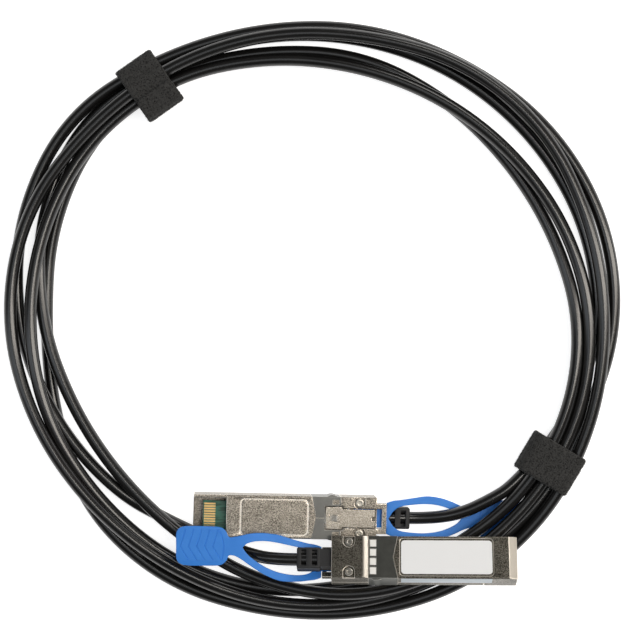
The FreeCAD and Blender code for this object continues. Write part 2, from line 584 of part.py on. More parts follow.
def flexed(plug, behind, across, above):
    """Return where a point of the straight tail goes once the tail has flexed."""
    bent = behind - size.flex_start
    share = min(1.0, max(0.0, bent / size.flex_length))
    twist = math.radians(plug.twist) * eased(bent / size.twist_length)
    sloped = size.flex_length * (share ** 3 - share ** 4 / 2) + max(0.0, bent - size.flex_length)
    height = size.tab_z + plug.droop * eased(share) + plug.level * sloped
    return Vec(size.tail_start + behind,
               plug.lean * share * eased(share) + across * math.cos(twist)
               - above * math.sin(twist),
               height + across * math.sin(twist) + above * math.cos(twist))


def tail_loft(plug, stations):
    """Loft a flexed strip through stations of (distance, low side, high side)."""
    half = size.tab_thickness / 2
    sections = []
    for behind, low, high in stations:
        corners = [flexed(plug, behind, across, above) for across, above in
                   ((low, -half), (high, -half), (high, half), (low, half))]
        sections.append(Part.makePolygon(corners + corners[:1]))
    return Part.makeLoft(sections, True, True)


def pull_tab(plug):
    """Flexible tab: cam tongue under the lever, finger loop and grip pad."""
    half = size.tab_thickness / 2
    width = 2 * size.tab_tongue_half_width
    tongue = Part.makeBox(size.tail_start - size.tongue_front, width, size.tab_thickness,
                          Vec(size.tongue_front, -width / 2, size.tab_z - half))
    cam = Part.makeBox(size.cam_length, width - 0.8, size.cam_height + half,
                       Vec(size.tongue_front, 0.4 - width / 2,
                           size.tab_z - half - size.cam_height))
    left = tail_loft(plug, LOOP_OUTLINE)
    right = tail_loft(plug, [(behind, -high, -low) for behind, low, high in LOOP_OUTLINE])
    pad = tail_loft(plug, [(behind, -wide, wide) for behind, wide in PAD_OUTLINE])
    tab = doc.addObject("Part::Feature", f"tab_{plug.letter}")
    tab.Shape = tongue.multiFuse([cam, left, right, pad]).removeSplitter()
    place([tab], "pull_tab", plug)


# ------------------------------------------------------------------------- labels
def face_label(plug):
    """Bare label in its recess."""
    floor = "housing_height / 2 - label_recess"
    sheet_box = box(f"label_{plug.letter}", ("label_front", "label_rear"),
                    ("-label_half_width + label_rim", "label_half_width - label_rim"),
                    (floor, f"{floor} + label_thickness"))
    sheet_box = rounded(f"label_{plug.letter}_sheet", sheet_box, size.label_radius,
                        lambda edge: along(edge, Vec(0, 0, 1)))
    place([sheet_box], "face_label", plug)


def side_label(plug):
    """Bare marking strip on one side of the cover."""
    low = "seam_z + 0.25"
    strip = box(f"strip_{plug.letter}", ("label_front", "label_rear"),
                ("housing_width / 2", "housing_width / 2 + label_thickness"),
                (low, f"{low} + side_label_height"))
    place([strip], "side_label", plug)


# ------------------------------------------------------------- coil, tubes, straps
# Inner and outer radius of the turns' middle lines, every 20 degrees from +X round to +Y.
COIL_BAND = ((83.75, 96.0), (80.5, 97.5), (79.75, 96.75), (81.0, 94.75), (81.75, 94.25),
             (84.75, 94.0), (89.0, 96.5), (91.25, 101.25), (88.75, 99.0), (85.5, 96.75),
             (80.75, 93.5), (79.0, 93.75), (80.25, 94.75), (84.25, 93.5), (84.5, 94.0),
             (83.75, 95.5), (82.0, 95.0), (85.0, 93.0))


def ring_face(radii):
    """Fill a smooth closed outline round the coil's centre, through evenly spaced radii."""
    points = []
    for station, radius in enumerate(radii):
        angle = 2 * math.pi * station / len(radii)
        points.append(Vec(size.coil_x + radius * math.cos(angle),
                          size.coil_y + radius * math.sin(angle), 0))
    curve = Part.BSplineCurve()
    curve.interpolate(points, PeriodicFlag=True)
    return Part.Face(Part.Wire([curve.toShape()]))


def cable_coil(plug_a, plug_b, neighbours):
    """Outer shape of the tied turns, relieved where plug B and tab A lie in them."""
    skin, height = size.cable_diameter / 2, Vec(0, 0, size.coil_height)
    ring = ring_face([outer + skin for inner, outer in COIL_BAND]).extrude(height)
    hole = ring_face([inner - skin for inner, outer in COIL_BAND]).extrude(height)
    room = size.coil_room
    half, top = size.housing_width / 2 + room, size.housing_height / 2 + room
    plug_rooms = []
    for plug in (plug_a, plug_b):
        plug_room = Part.makeBox(size.housing_length + 2 * room, 2 * half, 4 * top,
                                 Vec(-room, -half, -top - size.tooth_height))
        plug_room.Placement = plug.placement
        plug_rooms.append(plug_room)
    pad_front = PAD_OUTLINE[0][0] / 2
    reach = size.tail_length - pad_front + size.tab_travel + room
    roof = flexed(plug_a, size.tail_length, 0, 0).z - size.tab_thickness / 2 - room
    tab_room = Part.makeBox(reach, 2 * half, 2 * size.coil_height,
                            Vec(size.tail_start + pad_front, -half, roof))
    tab_room.Placement = plug_a.placement
    coil = doc.addObject("Part::Feature", "cable_coil")
    coil.Shape = ring.cut(hole).cut(plug_rooms + [tab_room] + neighbours).removeSplitter()
    finished.append(coil)


def cord_path(points):
    """Join straight runs with tangent arcs, each as large as its two runs allow."""
    edges, start = [], points[0]
    for before, corner, after in zip(points, points[1:], points[2:]):
        into, out = corner - before, after - corner
        turn = into.getAngle(out)
        reach = 0.45 * min(into.Length, out.Length)
        print(f"radius {reach / math.tan(turn / 2):7.1f}  run {into.Length:5.1f}")
        into.normalize()
        out.normalize()
        first, last = corner - into * reach, corner + out * reach
        bisector = (out - into).normalize()
        radius = reach / math.tan(turn / 2)
        middle = corner + bisector * (radius / math.cos(turn / 2) - radius)
        edges += [Part.LineSegment(start, first).toShape(),
                  Part.Arc(first, middle, last).toShape()]
        start = last
    edges.append(Part.LineSegment(start, points[-1]).toShape())
    return Part.Wire(edges)


def cable_tube(label, points):
    """Plain tube along the stretch of cable between a boot and the coil."""
    path = cord_path(points)
    start = points[1] - points[0]
    section = Part.Wire([Part.makeCircle(size.cable_diameter / 2, points[0], start)])
    tube = doc.addObject("Part::Feature", label)
    tube.Shape = path.makePipeShell([section], True, False)
    expected = math.pi * (size.cable_diameter / 2) ** 2 * path.Length
    print(f"{label}: length {path.Length:.1f}, volume {tube.Shape.Volume / expected:.4f} of sum")
    finished.append(tube)
    return tube.Shape


# Middle line of each uncoiled stretch, from just behind the boot to the coil.
ROUTE_A = ((34.2, 7.3, 4.7), (42.7, 11.2, 5.0), (51.6, 16.4, 4.6))
ROUTE_B = ((-31.1, -5.4, 11.2), (-45.1, -1.4, 2.2), (-56.9, 3.7, 2.05))


def strap(label, radius, angle, height):
    """Flat hook-and-loop band round the turns."""
    half = size.strap_span / 2
    outer = Part.makeBox(size.strap_span, size.strap_width, height,
                         Vec(radius - half, -size.strap_width / 2, 0))
    outer = outer.makeFillet(size.strap_wall, [edge for edge in outer.Edges
                                               if along(edge, Vec(0, 1, 0))])
    inner = Part.makeBox(size.strap_span - 2 * size.strap_wall, size.strap_width + 2,
                         height - 2 * size.strap_skin,
                         Vec(radius - half + size.strap_wall, -size.strap_width / 2 - 1,
                             size.strap_skin))
    inner = inner.makeFillet(size.strap_wall / 2, [edge for edge in inner.Edges
                                                   if along(edge, Vec(0, 1, 0))])
    band = doc.addObject("Part::Feature", label)
    band.Shape = outer.cut(inner)
    band.Placement = FreeCAD.Placement(Vec(size.coil_x, size.coil_y, 0),
                                       FreeCAD.Rotation(Vec(0, 0, 1), angle))
    finished.append(band)
    return band.Shape


# --------------------------------------------------------------------- the assembly
plug_a = SimpleNamespace(
    letter="a", droop=size.droop_a, lean=size.lean_a, level=size.level_a, twist=size.twist_a,
    lead=size.lead_a, placement=FreeCAD.Placement(
        Vec(size.plug_a_x, size.plug_a_y, size.plug_a_z),
        FreeCAD.Rotation(size.plug_a_yaw, size.plug_a_pitch, 180)))
plug_b = SimpleNamespace(
    letter="b", droop=size.droop_b, lean=size.lean_b, level=size.level_b, twist=size.twist_b,
    lead=size.lead_b, placement=FreeCAD.Placement(
        Vec(size.plug_b_x, size.plug_b_y, size.plug_b_z),
        FreeCAD.Rotation(180, size.plug_b_pitch, size.plug_b_roll)))

for plug in (plug_a, plug_b):
    for make in (upper_shell, lower_shell, screws, spring_collar, circuit_board, contact_pads,
                 memory_chip, signal_cores, cable_clamp, cable_root, boot, latch_lever,
                 latch_pin, latch_spring, pull_tab):
        make(plug)
face_label(plug_b)
side_label(plug_b)
boot_end = Vec(size.boot_start + size.boot_length, 0, size.cable_z)
neighbours = [
    cable_tube(f"cable_tube_{plug.letter}",
               [plug.placement.multVec(boot_end + Vec(ahead, 0, 0)) for ahead in (0, plug.lead)]
               + [Vec(*point) for point in route])
    for plug, route in ((plug_a, ROUTE_A), (plug_b, ROUTE_B))]
neighbours += [
    strap("tie_strap_a", size.strap_a_radius, size.strap_a_angle, size.strap_a_height),
    strap("tie_strap_b", size.strap_b_radius, size.strap_b_angle, size.strap_b_height)]
cable_coil(plug_a, plug_b, neighbours)
doc.recompute()

faults = [item.Name for item in doc.Objects
          if "Invalid" in item.State or "Error" in item.State]
faults += [item.Label for item in finished if item.Shape.isNull() or not item.Shape.isValid()]
if faults:
    raise RuntimeError(f"these objects failed: {faults}")
os.makedirs("parts", exist_ok=True)
for item in finished:
    item.Shape.exportStep(os.path.join("parts", f"{item.Label}.step"))
print(f"{len(finished)} pieces written")
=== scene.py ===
"""Dressing, light and camera for a direct attach copper cable.

Two metal plugs sit on the ends of one black cable, which lies coiled in five
turns and is held by two fabric ties. The plugs' hard parts keep the shapes of
the frame and get rounded edges here; the cable, the ties and the pull tabs
get shapes of their own.
"""

import json
import logging
import math
from collections.abc import Callable, Iterator, Sequence
from contextlib import contextmanager
from dataclasses import dataclass
from enum import Enum
from typing import ClassVar

import bmesh
import bpy
import numpy as np
from bmesh.types import BMesh, BMFace, BMVert
from bpy.types import Curve, ID, Material, Mesh, NodeSocket, NodeTree, Object, Spline
from mathutils import Matrix, Vector


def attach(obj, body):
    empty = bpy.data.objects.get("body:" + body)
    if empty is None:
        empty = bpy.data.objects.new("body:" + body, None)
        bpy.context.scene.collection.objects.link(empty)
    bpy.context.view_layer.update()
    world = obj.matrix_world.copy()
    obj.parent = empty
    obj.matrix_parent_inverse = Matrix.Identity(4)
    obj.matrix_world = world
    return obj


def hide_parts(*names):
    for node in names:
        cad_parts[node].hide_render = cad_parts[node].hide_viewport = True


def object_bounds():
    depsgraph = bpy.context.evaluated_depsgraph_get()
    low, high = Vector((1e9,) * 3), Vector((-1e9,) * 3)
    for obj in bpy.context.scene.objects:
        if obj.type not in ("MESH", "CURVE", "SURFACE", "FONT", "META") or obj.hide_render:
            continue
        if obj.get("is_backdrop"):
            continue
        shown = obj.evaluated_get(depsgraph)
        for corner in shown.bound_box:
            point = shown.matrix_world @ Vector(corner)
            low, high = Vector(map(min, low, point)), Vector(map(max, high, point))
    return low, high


MM = 0.001
WELD = 0.002 * MM
FLAT_ANGLE = math.radians(0.6)
SHARP_ANGLE = math.radians(28)
HEAD_AREA = 4 * MM ** 2
HEAD_RIM = 0.62 * MM
HEAD_BEVEL = 0.04 * MM
# Share of the painted highlight on faces that are chosen to look bright.
HIGHLIGHT_SHARE = 0.85
LABEL_EDGE = 0.03 * MM
Colour = tuple[float, float, float]
log = logging.getLogger("direct_attach_cable")

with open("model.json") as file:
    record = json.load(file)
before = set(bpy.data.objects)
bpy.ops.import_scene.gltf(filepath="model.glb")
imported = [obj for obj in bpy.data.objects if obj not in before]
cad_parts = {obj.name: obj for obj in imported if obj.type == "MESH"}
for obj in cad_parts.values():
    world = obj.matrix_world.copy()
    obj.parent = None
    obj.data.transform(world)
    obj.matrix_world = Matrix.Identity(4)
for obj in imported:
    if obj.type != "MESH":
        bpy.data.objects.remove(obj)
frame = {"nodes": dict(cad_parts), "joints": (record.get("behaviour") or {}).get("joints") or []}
cad_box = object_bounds()


# -------- node trees
class Socket:
    """Output socket of a node tree, with arithmetic that adds Math nodes."""

    def __init__(self, graph: "Graph", source: NodeSocket) -> None:
        """Wrap an output socket of a graph."""
        self.graph = graph
        self.source = source

    def maths(self, operation: str, first: "Operand", second: "Operand") -> "Socket":
        """Add a Math node with two operands."""
        return self.graph.node("ShaderNodeMath", {0: first, 1: second}, operation=operation)

    def beside(self, name: str) -> "Socket":
        """Find another output of the same node."""
        return Socket(self.graph, self.source.node.outputs[name])

    def __add__(self, other: "Operand") -> "Socket":
        """Add an operand."""
        return self.maths("ADD", self, other)

    __radd__ = __add__

    def __sub__(self, other: "Operand") -> "Socket":
        """Take an operand away."""
        return self.maths("SUBTRACT", self, other)

    def __rsub__(self, other: "Operand") -> "Socket":
        """Take this value away from an operand."""
        return self.maths("SUBTRACT", other, self)

    def __mul__(self, other: "Operand") -> "Socket":
        """Multiply by an operand."""
        return self.maths("MULTIPLY", self, other)

    __rmul__ = __mul__


Operand = Socket | float


class Graph:
    """Builder for one node tree."""

    def __init__(self, tree: NodeTree) -> None:
        """Take charge of a tree."""
        self.tree = tree

    def node(self, kind: str, inputs: dict | None = None, output: int | str = 0,
             **settings: object) -> Socket:
        """Add a node, set it up and link or fill its inputs.

        Args:
            kind: Type of the node.
            inputs: Values or sockets by input name or index.
            output: Name or index of the output wanted.
            settings: Properties of the node, which are set before its inputs.

        Returns:
            The chosen output.
        """
        node = self.tree.nodes.new(kind)
        for name, value in settings.items():
            setattr(node, name, value)
        for name, value in (inputs or {}).items():
            self.feed(node.inputs[name], value)
        return Socket(self, node.outputs[output])

    def feed(self, target: NodeSocket, value: object) -> None:
        """Link or set an input.

        Args:
            target: Input socket.
            value: Wrapped socket to link, or plain value to set.
        """
        if isinstance(value, Socket):
            self.tree.links.new(value.source, target)
        else:
            target.default_value = value

    def ranged(self, value: Socket, start: float, end: float, low: float = 0.0) -> Socket:
        """Stretch what lies between start and end to between low and 1, and hold the rest."""
        return self.node("ShaderNodeMapRange", {"Value": value, "From Min": start,
                                                "From Max": end, "To Min": low})


class Growth(Graph):
    """Geometry Nodes tree that ends in real geometry of one finish."""

    def __init__(self, name: str, inputs: dict[str, str]) -> None:
        """Start a tree.

        Args:
            name: Name of the tree.
            inputs: Kind of socket of each named input; one is called Finish.
        """
        super().__init__(bpy.data.node_groups.new(name, "GeometryNodeTree"))
        sockets = self.tree.interface
        for title, kind in inputs.items():
            sockets.new_socket(title, in_out="INPUT", socket_type=f"NodeSocket{kind}")
        sockets.new_socket("Geometry", in_out="OUTPUT", socket_type="NodeSocketGeometry")
        given = self.tree.nodes.new("NodeGroupInput")
        self.given = {socket.name: Socket(self, socket) for socket in given.outputs[:-1]}

    def finish(self, geometry: Socket) -> "Growth":
        """Make the instances real, set their finish and end the tree.

        Args:
            geometry: What the tree has grown.

        Returns:
            This tree.
        """
        real = self.node("GeometryNodeRealizeInstances", {"Geometry": geometry})
        done = self.node("GeometryNodeSetMaterial", {"Geometry": real,
                                                     "Material": self.given["Finish"]})
        self.feed(self.tree.nodes.new("NodeGroupOutput").inputs["Geometry"], done)
        return self

    def grow(self, mesh: Mesh, values: dict) -> Mesh:
        """Run the tree.

        Args:
            mesh: Mesh that the tree starts from.
            values: Value of each named input.

        Returns:
            The mesh that comes out.
        """
        piece = linked("passing", mesh)
        nodes = piece.modifiers.new(self.tree.name, "NODES")
        nodes.node_group = self.tree
        for socket in self.tree.interface.items_tree:
            if socket.in_out == "INPUT" and socket.name in values:
                nodes[socket.identifier] = values[socket.name]
        return applied(piece)


# -------- finishes
class Grain(Enum):
    """Kinds of fine pattern: the texture node and its output."""

    CLOUD = ("ShaderNodeTexNoise", "Fac")
    PEBBLE = ("ShaderNodeTexVoronoi", "Distance")


class Skin(Graph):
    """Builder for the nodes that feed a material's Principled shader."""

    def give(self, name: str, value: object) -> None:
        """Link or set an input of the shader."""
        self.feed(self.tree.nodes["Principled BSDF"].inputs[name], value)

    def pattern(self, size: float, detail: float = 3.0, stretch: Colour = (1.0, 1.0, 1.0),
                kind: Grain = Grain.CLOUD) -> Socket:
        """Make a pattern on the piece's own coordinates.

        Args:
            size: Size of a grain in metres.
            detail: Octaves of finer detail.
            stretch: Relative frequency along each axis.
            kind: Kind of pattern.

        Returns:
            Value from about 0 to 1.
        """
        place = self.node("ShaderNodeTexCoord", output="Object")
        place = self.node("ShaderNodeMapping", {"Vector": place, "Scale": stretch})
        texture, output = kind.value
        return self.node(texture, {"Vector": place, "Scale": 1 / size, "Detail": detail}, output)

    def painted_highlight(self) -> Socket:
        """Read how far each face is painted bright as a painted highlight."""
        return self.node("ShaderNodeAttribute", output="Fac", attribute_name="painted_highlight")

    def blend(self, mask: Socket, low: Colour | Socket, high: Colour) -> Socket:
        """Blend two colours.

        Args:
            mask: Share of the second colour.
            low: First colour, or a socket of one.
            high: Second colour.

        Returns:
            The blended colour.
        """
        first = low if isinstance(low, Socket) else (*low, 1.0)
        return self.node("ShaderNodeMix", {0: mask, 6: first, 7: (*high, 1.0)}, 2,
                         data_type="RGBA")

    def bump(self, height: Socket, depth: float) -> None:
        """Raise the surface by a pattern, of which a full step is so many metres deep."""
        self.give("Normal", self.node("ShaderNodeBump", {
            "Height": height, "Distance": depth, "Strength": 1.0}, "Normal"))


@dataclass(frozen=True)
class Finish:
    """Base of every finish: a name, a colour and how shiny it is."""

    name: str
    colour: Colour
    roughness: float
    specular: ClassVar[float] = 0.5

    def material(self) -> Material:
        """Build the material once and hand out the same one after that.

        Returns:
            The material of this finish.
        """
        # The frame's own materials have plain names, so a finish's name gets an ending.
        name = f"{self.name}_finish"
        if name in bpy.data.materials:
            return bpy.data.materials[name]
        made = bpy.data.materials.new(name)
        made.use_nodes = True
        made.diffuse_color = (*self.colour, 1.0)
        skin = Skin(made.node_tree)
        skin.give("Base Color", (*self.colour, 1.0))
        skin.give("Roughness", self.roughness)
        skin.give("Specular IOR Level", self.specular)
        self.dress(skin)
        return made

    def dress(self, skin: Skin) -> None:
        """Add the finish's own nodes to its material; the plain finish has none."""


@dataclass(frozen=True)
class Casting(Finish):
    """Plated die casting with a sand-blasted skin and a painted highlight on its rounded edges and
    chosen faces.
    """

    pit_colour: Colour
    grain: float = 0.34 * MM
    depth: float = 0.045 * MM
    metal: float = 0.9
    # Colour of the painted highlight on rounded edges and chosen faces.
    highlight_colour: Colour = (0.8, 0.74, 0.65)

    def dress(self, skin: Skin) -> None:
        """Mottle the colour and roughen the skin, more in the pits.

        Args:
            skin: Builder of the material.
        """
        sand = skin.pattern(self.grain, 4.0)
        patches = skin.pattern(3.5 * MM, 2.0)
        mask = skin.ranged(sand * 0.85 + patches * 0.15, 0.4, 0.62)
        painted_highlight = skin.painted_highlight()
        mottled = skin.blend(mask, self.pit_colour, self.colour)
        # Painted highlight: rounded edges and chosen faces take the highlight colour.
        skin.give("Base Color", skin.blend(painted_highlight, mottled, self.highlight_colour))
        skin.give("Roughness",
                  self.roughness + 0.15 * (1 - mask) * (1 - painted_highlight) - 0.04 * painted_highlight)
        skin.give("Metallic", self.metal)
        skin.bump(sand * (1 - 0.9 * painted_highlight), self.depth)


@dataclass(frozen=True)
class Sheet(Finish):
    """Rolled spring sheet: smooth, with faint lines along the rolling direction."""

    metal: float = 0.95
    # Colour of the painted highlight on rounded edges.
    highlight_colour: Colour = (0.7, 0.68, 0.63)

    def dress(self, skin: Skin) -> None:
        """Add rolling lines, soft stains and a painted highlight on the rounded edges.

        Args:
            skin: Builder of the material.
        """
        lines = skin.pattern(0.12 * MM, 2.0, (0.05, 1.0, 1.0))
        stains = skin.pattern(2.2 * MM)
        dull = tuple(0.75 * part for part in self.colour)
        stained = skin.blend(stains, dull, self.colour)
        # Painted highlight: rounded edges take the highlight colour.
        skin.give("Base Color", skin.blend(skin.painted_highlight(), stained, self.highlight_colour))
        skin.give("Roughness", self.roughness + 0.1 * stains)
        skin.give("Metallic", self.metal)
        skin.bump(lines, 0.002 * MM)


@dataclass(frozen=True)
class Plastic(Finish):
    """Moulded plastic with a fine eroded texture and slight waves."""

    shade: Colour
    depth: float = 0.01 * MM

    def dress(self, skin: Skin) -> None:
        """Vary the colour softly and texture the skin.

        Args:
            skin: Builder of the material.
        """
        waves = skin.pattern(5 * MM, 2.0)
        texture = skin.pattern(0.16 * MM, 2.0)
        skin.give("Base Color", skin.blend(waves, self.shade, self.colour))
        skin.give("Roughness", self.roughness + 0.12 * texture)
        skin.bump(texture, self.depth)


@dataclass(frozen=True)
class Jacket(Finish):
    """Extruded cable jacket: near black, glossy, with handling marks."""

    specular: ClassVar[float] = 0.6
    handled: Colour

    def dress(self, skin: Skin) -> None:
        """Smear the gloss along the cable and dimple the skin.

        Args:
            skin: Builder of the material.
        """
        smears = skin.pattern(9 * MM, 4.0)
        dust = skin.pattern(0.5 * MM)
        skin.give("Base Color", skin.blend(smears * dust * 2.0, self.colour, self.handled))
        skin.give("Roughness", self.roughness + 0.06 * smears)
        skin.bump(dust, 0.0015 * MM)


@dataclass(frozen=True)
class Board(Finish):
    """Solder mask over copper, which shows as slightly lighter bands."""

    trace: Colour

    def dress(self, skin: Skin) -> None:
        """Show traces under the mask as soft bands.

        Args:
            skin: Builder of the material.
        """
        bands = skin.ranged(skin.pattern(0.6 * MM, 1.0, (0.15, 1.0, 1.0)), 0.45, 0.56)
        skin.give("Base Color", skin.blend(bands, self.colour, self.trace))
        skin.bump(bands, 0.01 * MM)


@dataclass(frozen=True)
class Paper(Finish):
    """Coated label stock, left bare."""

    def dress(self, skin: Skin) -> None:
        """Give the sheet a faint fibre and slight waves.

        Args:
            skin: Builder of the material.
        """
        fibre = skin.pattern(0.25 * MM)
        waves = skin.pattern(6 * MM, 1.0)
        dull = tuple(0.95 * part for part in self.colour)
        skin.give("Base Color", skin.blend(fibre, dull, self.colour))
        skin.bump(fibre * 0.3 + waves, 0.02 * MM)


@dataclass(frozen=True)
class Weave(Finish):
    """Woven hook-and-loop tape with a napped face."""

    specular: ClassVar[float] = 0.2
    nap: Colour

    def dress(self, skin: Skin) -> None:
        """Show the loops as pebbles with lighter tips.

        Args:
            skin: Builder of the material.
        """
        loops = skin.pattern(0.55 * MM, kind=Grain.PEBBLE)
        fluff = skin.pattern(0.4 * MM)
        tips = skin.ranged(fluff * 0.7 + loops * 0.3, 0.47, 0.64)
        skin.give("Base Color", skin.blend(tips, self.colour, self.nap))
        skin.give("Sheen Weight", 0.05)
        skin.give("Sheen Roughness", 0.5)
        skin.bump(loops * 0.6 + fluff, 0.25 * MM)


class Palette:
    """Every finish of the cable."""

    # Plug A's casting and collar are lighter than plug B's: a painted reflection, A of a bright
    # overhead and B of dark surroundings, on one plated finish.
    CASTING_A = Casting("sand_casting_painted_lit", (0.44, 0.4, 0.34), 0.3, (0.12, 0.107, 0.088))
    CASTING_B = Casting("sand_casting_painted_shaded", (0.24, 0.222, 0.185), 0.32, (0.04, 0.037, 0.03))
    LEVER = Casting("tumbled_lever", (0.5, 0.46, 0.395), 0.3, (0.25, 0.225, 0.19), 0.35 * MM,
                    0.03 * MM)
    COLLAR_A = Sheet("spring_sheet_painted_lit", (0.17, 0.17, 0.16), 0.3)
    COLLAR_B = Sheet("spring_sheet_painted_shaded", (0.14, 0.143, 0.13), 0.3)
    SCREW = Sheet("screw_steel", (0.5, 0.47, 0.41), 0.25)
    PIN = Sheet("pin_steel", (0.5, 0.5, 0.5), 0.3)
    # Near-white tongues: a painted glint on the collar's bent spring tongues.
    TONGUE_GLINT = Paper("tongue_painted_glint", (0.9, 0.88, 0.84), 0.35)
    BOARD = Board("solder_mask", (0.012, 0.085, 0.05), 0.4, (0.03, 0.16, 0.1))
    GOLD = Sheet("gold_plating", (0.83, 0.55, 0.22), 0.25)
    CHIP = Plastic("moulded_package", (0.02, 0.02, 0.02), 0.5, (0.012, 0.012, 0.012))
    CORES = Plastic("core_insulation", (0.7, 0.72, 0.74), 0.4, (0.6, 0.62, 0.65))
    COPPER = Sheet("crimp_copper", (0.62, 0.4, 0.27), 0.32)
    JACKET = Jacket("cable_jacket", (0.004, 0.004, 0.004), 0.17, (0.01, 0.0095, 0.009))
    BOOT = Plastic("boot_rubber", (0.02, 0.02, 0.021), 0.5, (0.012, 0.012, 0.013), 0.02 * MM)
    TAB = Plastic("tab_blue", (0.035, 0.25, 0.78), 0.42, (0.02, 0.2, 0.7))
    LABEL = Paper("label_stock", (0.9, 0.905, 0.91), 0.45)
    STRIP = Paper("strip_stock", (0.74, 0.83, 0.9), 0.4)
    STRAP = Weave("hook_and_loop", (0.004, 0.004, 0.004), 0.9, (0.05, 0.0495, 0.048))


# -------- shape helpers
def linked(name: str, data: ID) -> Object:
    """Make an object and link it to the scene.

    Args:
        name: Name of the object.
        data: Mesh, curve, lamp or camera that it shows.

    Returns:
        The new object.
    """
    made = bpy.data.objects.new(name, data)
    bpy.context.scene.collection.objects.link(made)
    return made


def refinish(mesh: Mesh, finish: Finish) -> None:
    """Give a mesh one finish in place of the materials that it has."""
    mesh.materials.clear()
    mesh.materials.append(finish.material())


def adopt(name: str, mesh: Mesh, finish: Finish, body: str, *nodes: str
          ) -> Object:
    """Make an object of a mesh, finish it, hang it on its body and hide the frame nodes that it
    stands for.

    Args:
        name: Name of the piece.
        mesh: Mesh in the frame's metres.
        finish: Finish of the whole piece.
        body: Body that it rides on.
        nodes: Frame nodes that it stands for.

    Returns:
        The new object.
    """
    piece = linked(name, mesh)
    refinish(mesh, finish)
    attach(piece, body)
    if nodes:
        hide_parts(*nodes)
    log.info("%s: %d faces", name, len(mesh.polygons))
    return piece


def applied(piece: Object) -> Mesh:
    """Turn an object with its modifiers into a plain mesh and delete the object.

    Args:
        piece: Object that only passes through.

    Returns:
        The finished mesh.
    """
    graph = bpy.context.evaluated_depsgraph_get()
    graph.update()
    mesh = bpy.data.meshes.new_from_object(piece.evaluated_get(graph))
    bpy.data.objects.remove(piece)
    return mesh


@contextmanager
def editing(mesh: Mesh) -> Iterator[BMesh]:
    """Open a mesh for editing and write the changes back.

    Args:
        mesh: Mesh to edit.

    Yields:
        The mesh under way.
    """
    work = bmesh.new()
    work.from_mesh(mesh)
    yield work
    work.to_mesh(mesh)
    work.free()


def cut_across(work: BMesh, point: Sequence[float], way: Sequence[float]) -> None:
    """Divide the faces of a mesh at a plane through a point, square to a direction."""
    bmesh.ops.bisect_plane(work, geom=work.verts[:] + work.edges[:] + work.faces[:],
                           plane_co=point, plane_no=way)


def shaded(mesh: Mesh, degrees: float) -> Mesh:
    """Shade a mesh smooth, apart from its sharp edges.

    Args:
        mesh: Mesh to shade.
        degrees: Angle from which an edge is sharp.

    Returns:
        The same mesh.
    """
    mesh.shade_smooth()
    mesh.set_sharp_from_angle(angle=math.radians(degrees))
    return mesh


def softened(node: str, radius: float, socket: float = 0.0,
             split: tuple[Vector, Vector] | None = None,
             highlighted: Callable[[BMFace], bool] | None = None) -> Mesh:
    """Copy a frame node's mesh and round its sharp edges, which the finish paints bright as a
    painted highlight.

    Args:
        node: Name of the node.
        radius: Width of the rounding in metres.
        socket: Depth in metres of a round socket sunk into each screw head, if any.
        split: Point and direction of a plane that flat faces are divided at.
        highlighted: Tells which faces get a painted highlight like the edges.

    Returns:
        Smooth-shaded mesh that keeps its flat faces flat.
    """
    mesh = bpy.data.meshes.new(f"{node}_dressed")
    with editing(mesh) as work:
        work.from_mesh(frame["nodes"][node].data)
        painted_highlight = work.faces.layers.float.new("painted_highlight")
        bmesh.ops.remove_doubles(work, verts=work.verts, dist=WELD)
        bmesh.ops.dissolve_limit(work, angle_limit=FLAT_ANGLE, verts=work.verts,
                                 edges=work.edges)
        if socket:
            heads = [face for face in work.faces if face.calc_area() > HEAD_AREA
                     and len(face.verts) > 8]
            bmesh.ops.inset_individual(work, faces=heads, thickness=HEAD_RIM)
            bmesh.ops.inset_individual(work, faces=heads, thickness=HEAD_BEVEL, depth=-socket)
        if split:
            cut_across(work, *split)
        for face in work.faces:
            # Chosen faces get part of the painted highlight.
            face[painted_highlight] = HIGHLIGHT_SHARE if highlighted and highlighted(face) else 0.0
        sharp = [edge for edge in work.edges if len(edge.link_faces) == 2
                 and edge.is_convex and edge.calc_face_angle(0) > SHARP_ANGLE]
        rounded = bmesh.ops.bevel(work, geom=sharp, offset=radius, segments=2, profile=0.5,
                                  affect="EDGES", clamp_overlap=False)
        # Rounded edges get the full painted highlight.
        for face in rounded["faces"]:
            face[painted_highlight] = 1.0
        bmesh.ops.triangulate(work, faces=[face for face in work.faces if len(face.verts) > 4])
    for left_over in ("custom_normal", "sharp_edge"):
        if left_over in mesh.attributes:
            mesh.attributes.remove(mesh.attributes[left_over])
    piece = linked("passing", shaded(mesh, 50))
    even = piece.modifiers.new("even_normals", "WEIGHTED_NORMAL")
    even.keep_sharp = True
    return applied(piece)


def drawn(curve: Curve, kind: str, points: Sequence[Sequence[float]]
          ) -> Spline:
    """Draw a line in a curve.

    Args:
        curve: Curve that gets the line.
        kind: Type of spline.
        points: Points of the line.

    Returns:
        The new spline.
    """
    spline = curve.splines.new(kind)
    spline.points.add(len(points) - 1)
    for target, point in zip(spline.points, points):
        target.co = (*point, 1)
    return spline


def solid(curve: Curve) -> Object:
    """Turn a curve into a closed mesh.

    Args:
        curve: Filled or bevelled curve, in the plug's millimetres.

    Returns:
        Passing object with the mesh.
    """
    mesh = applied(linked("passing", curve))
    with editing(mesh) as work:
        bmesh.ops.remove_doubles(work, verts=work.verts, dist=0.001)
        bmesh.ops.recalc_face_normals(work, faces=work.faces)
    return linked("passing", mesh)


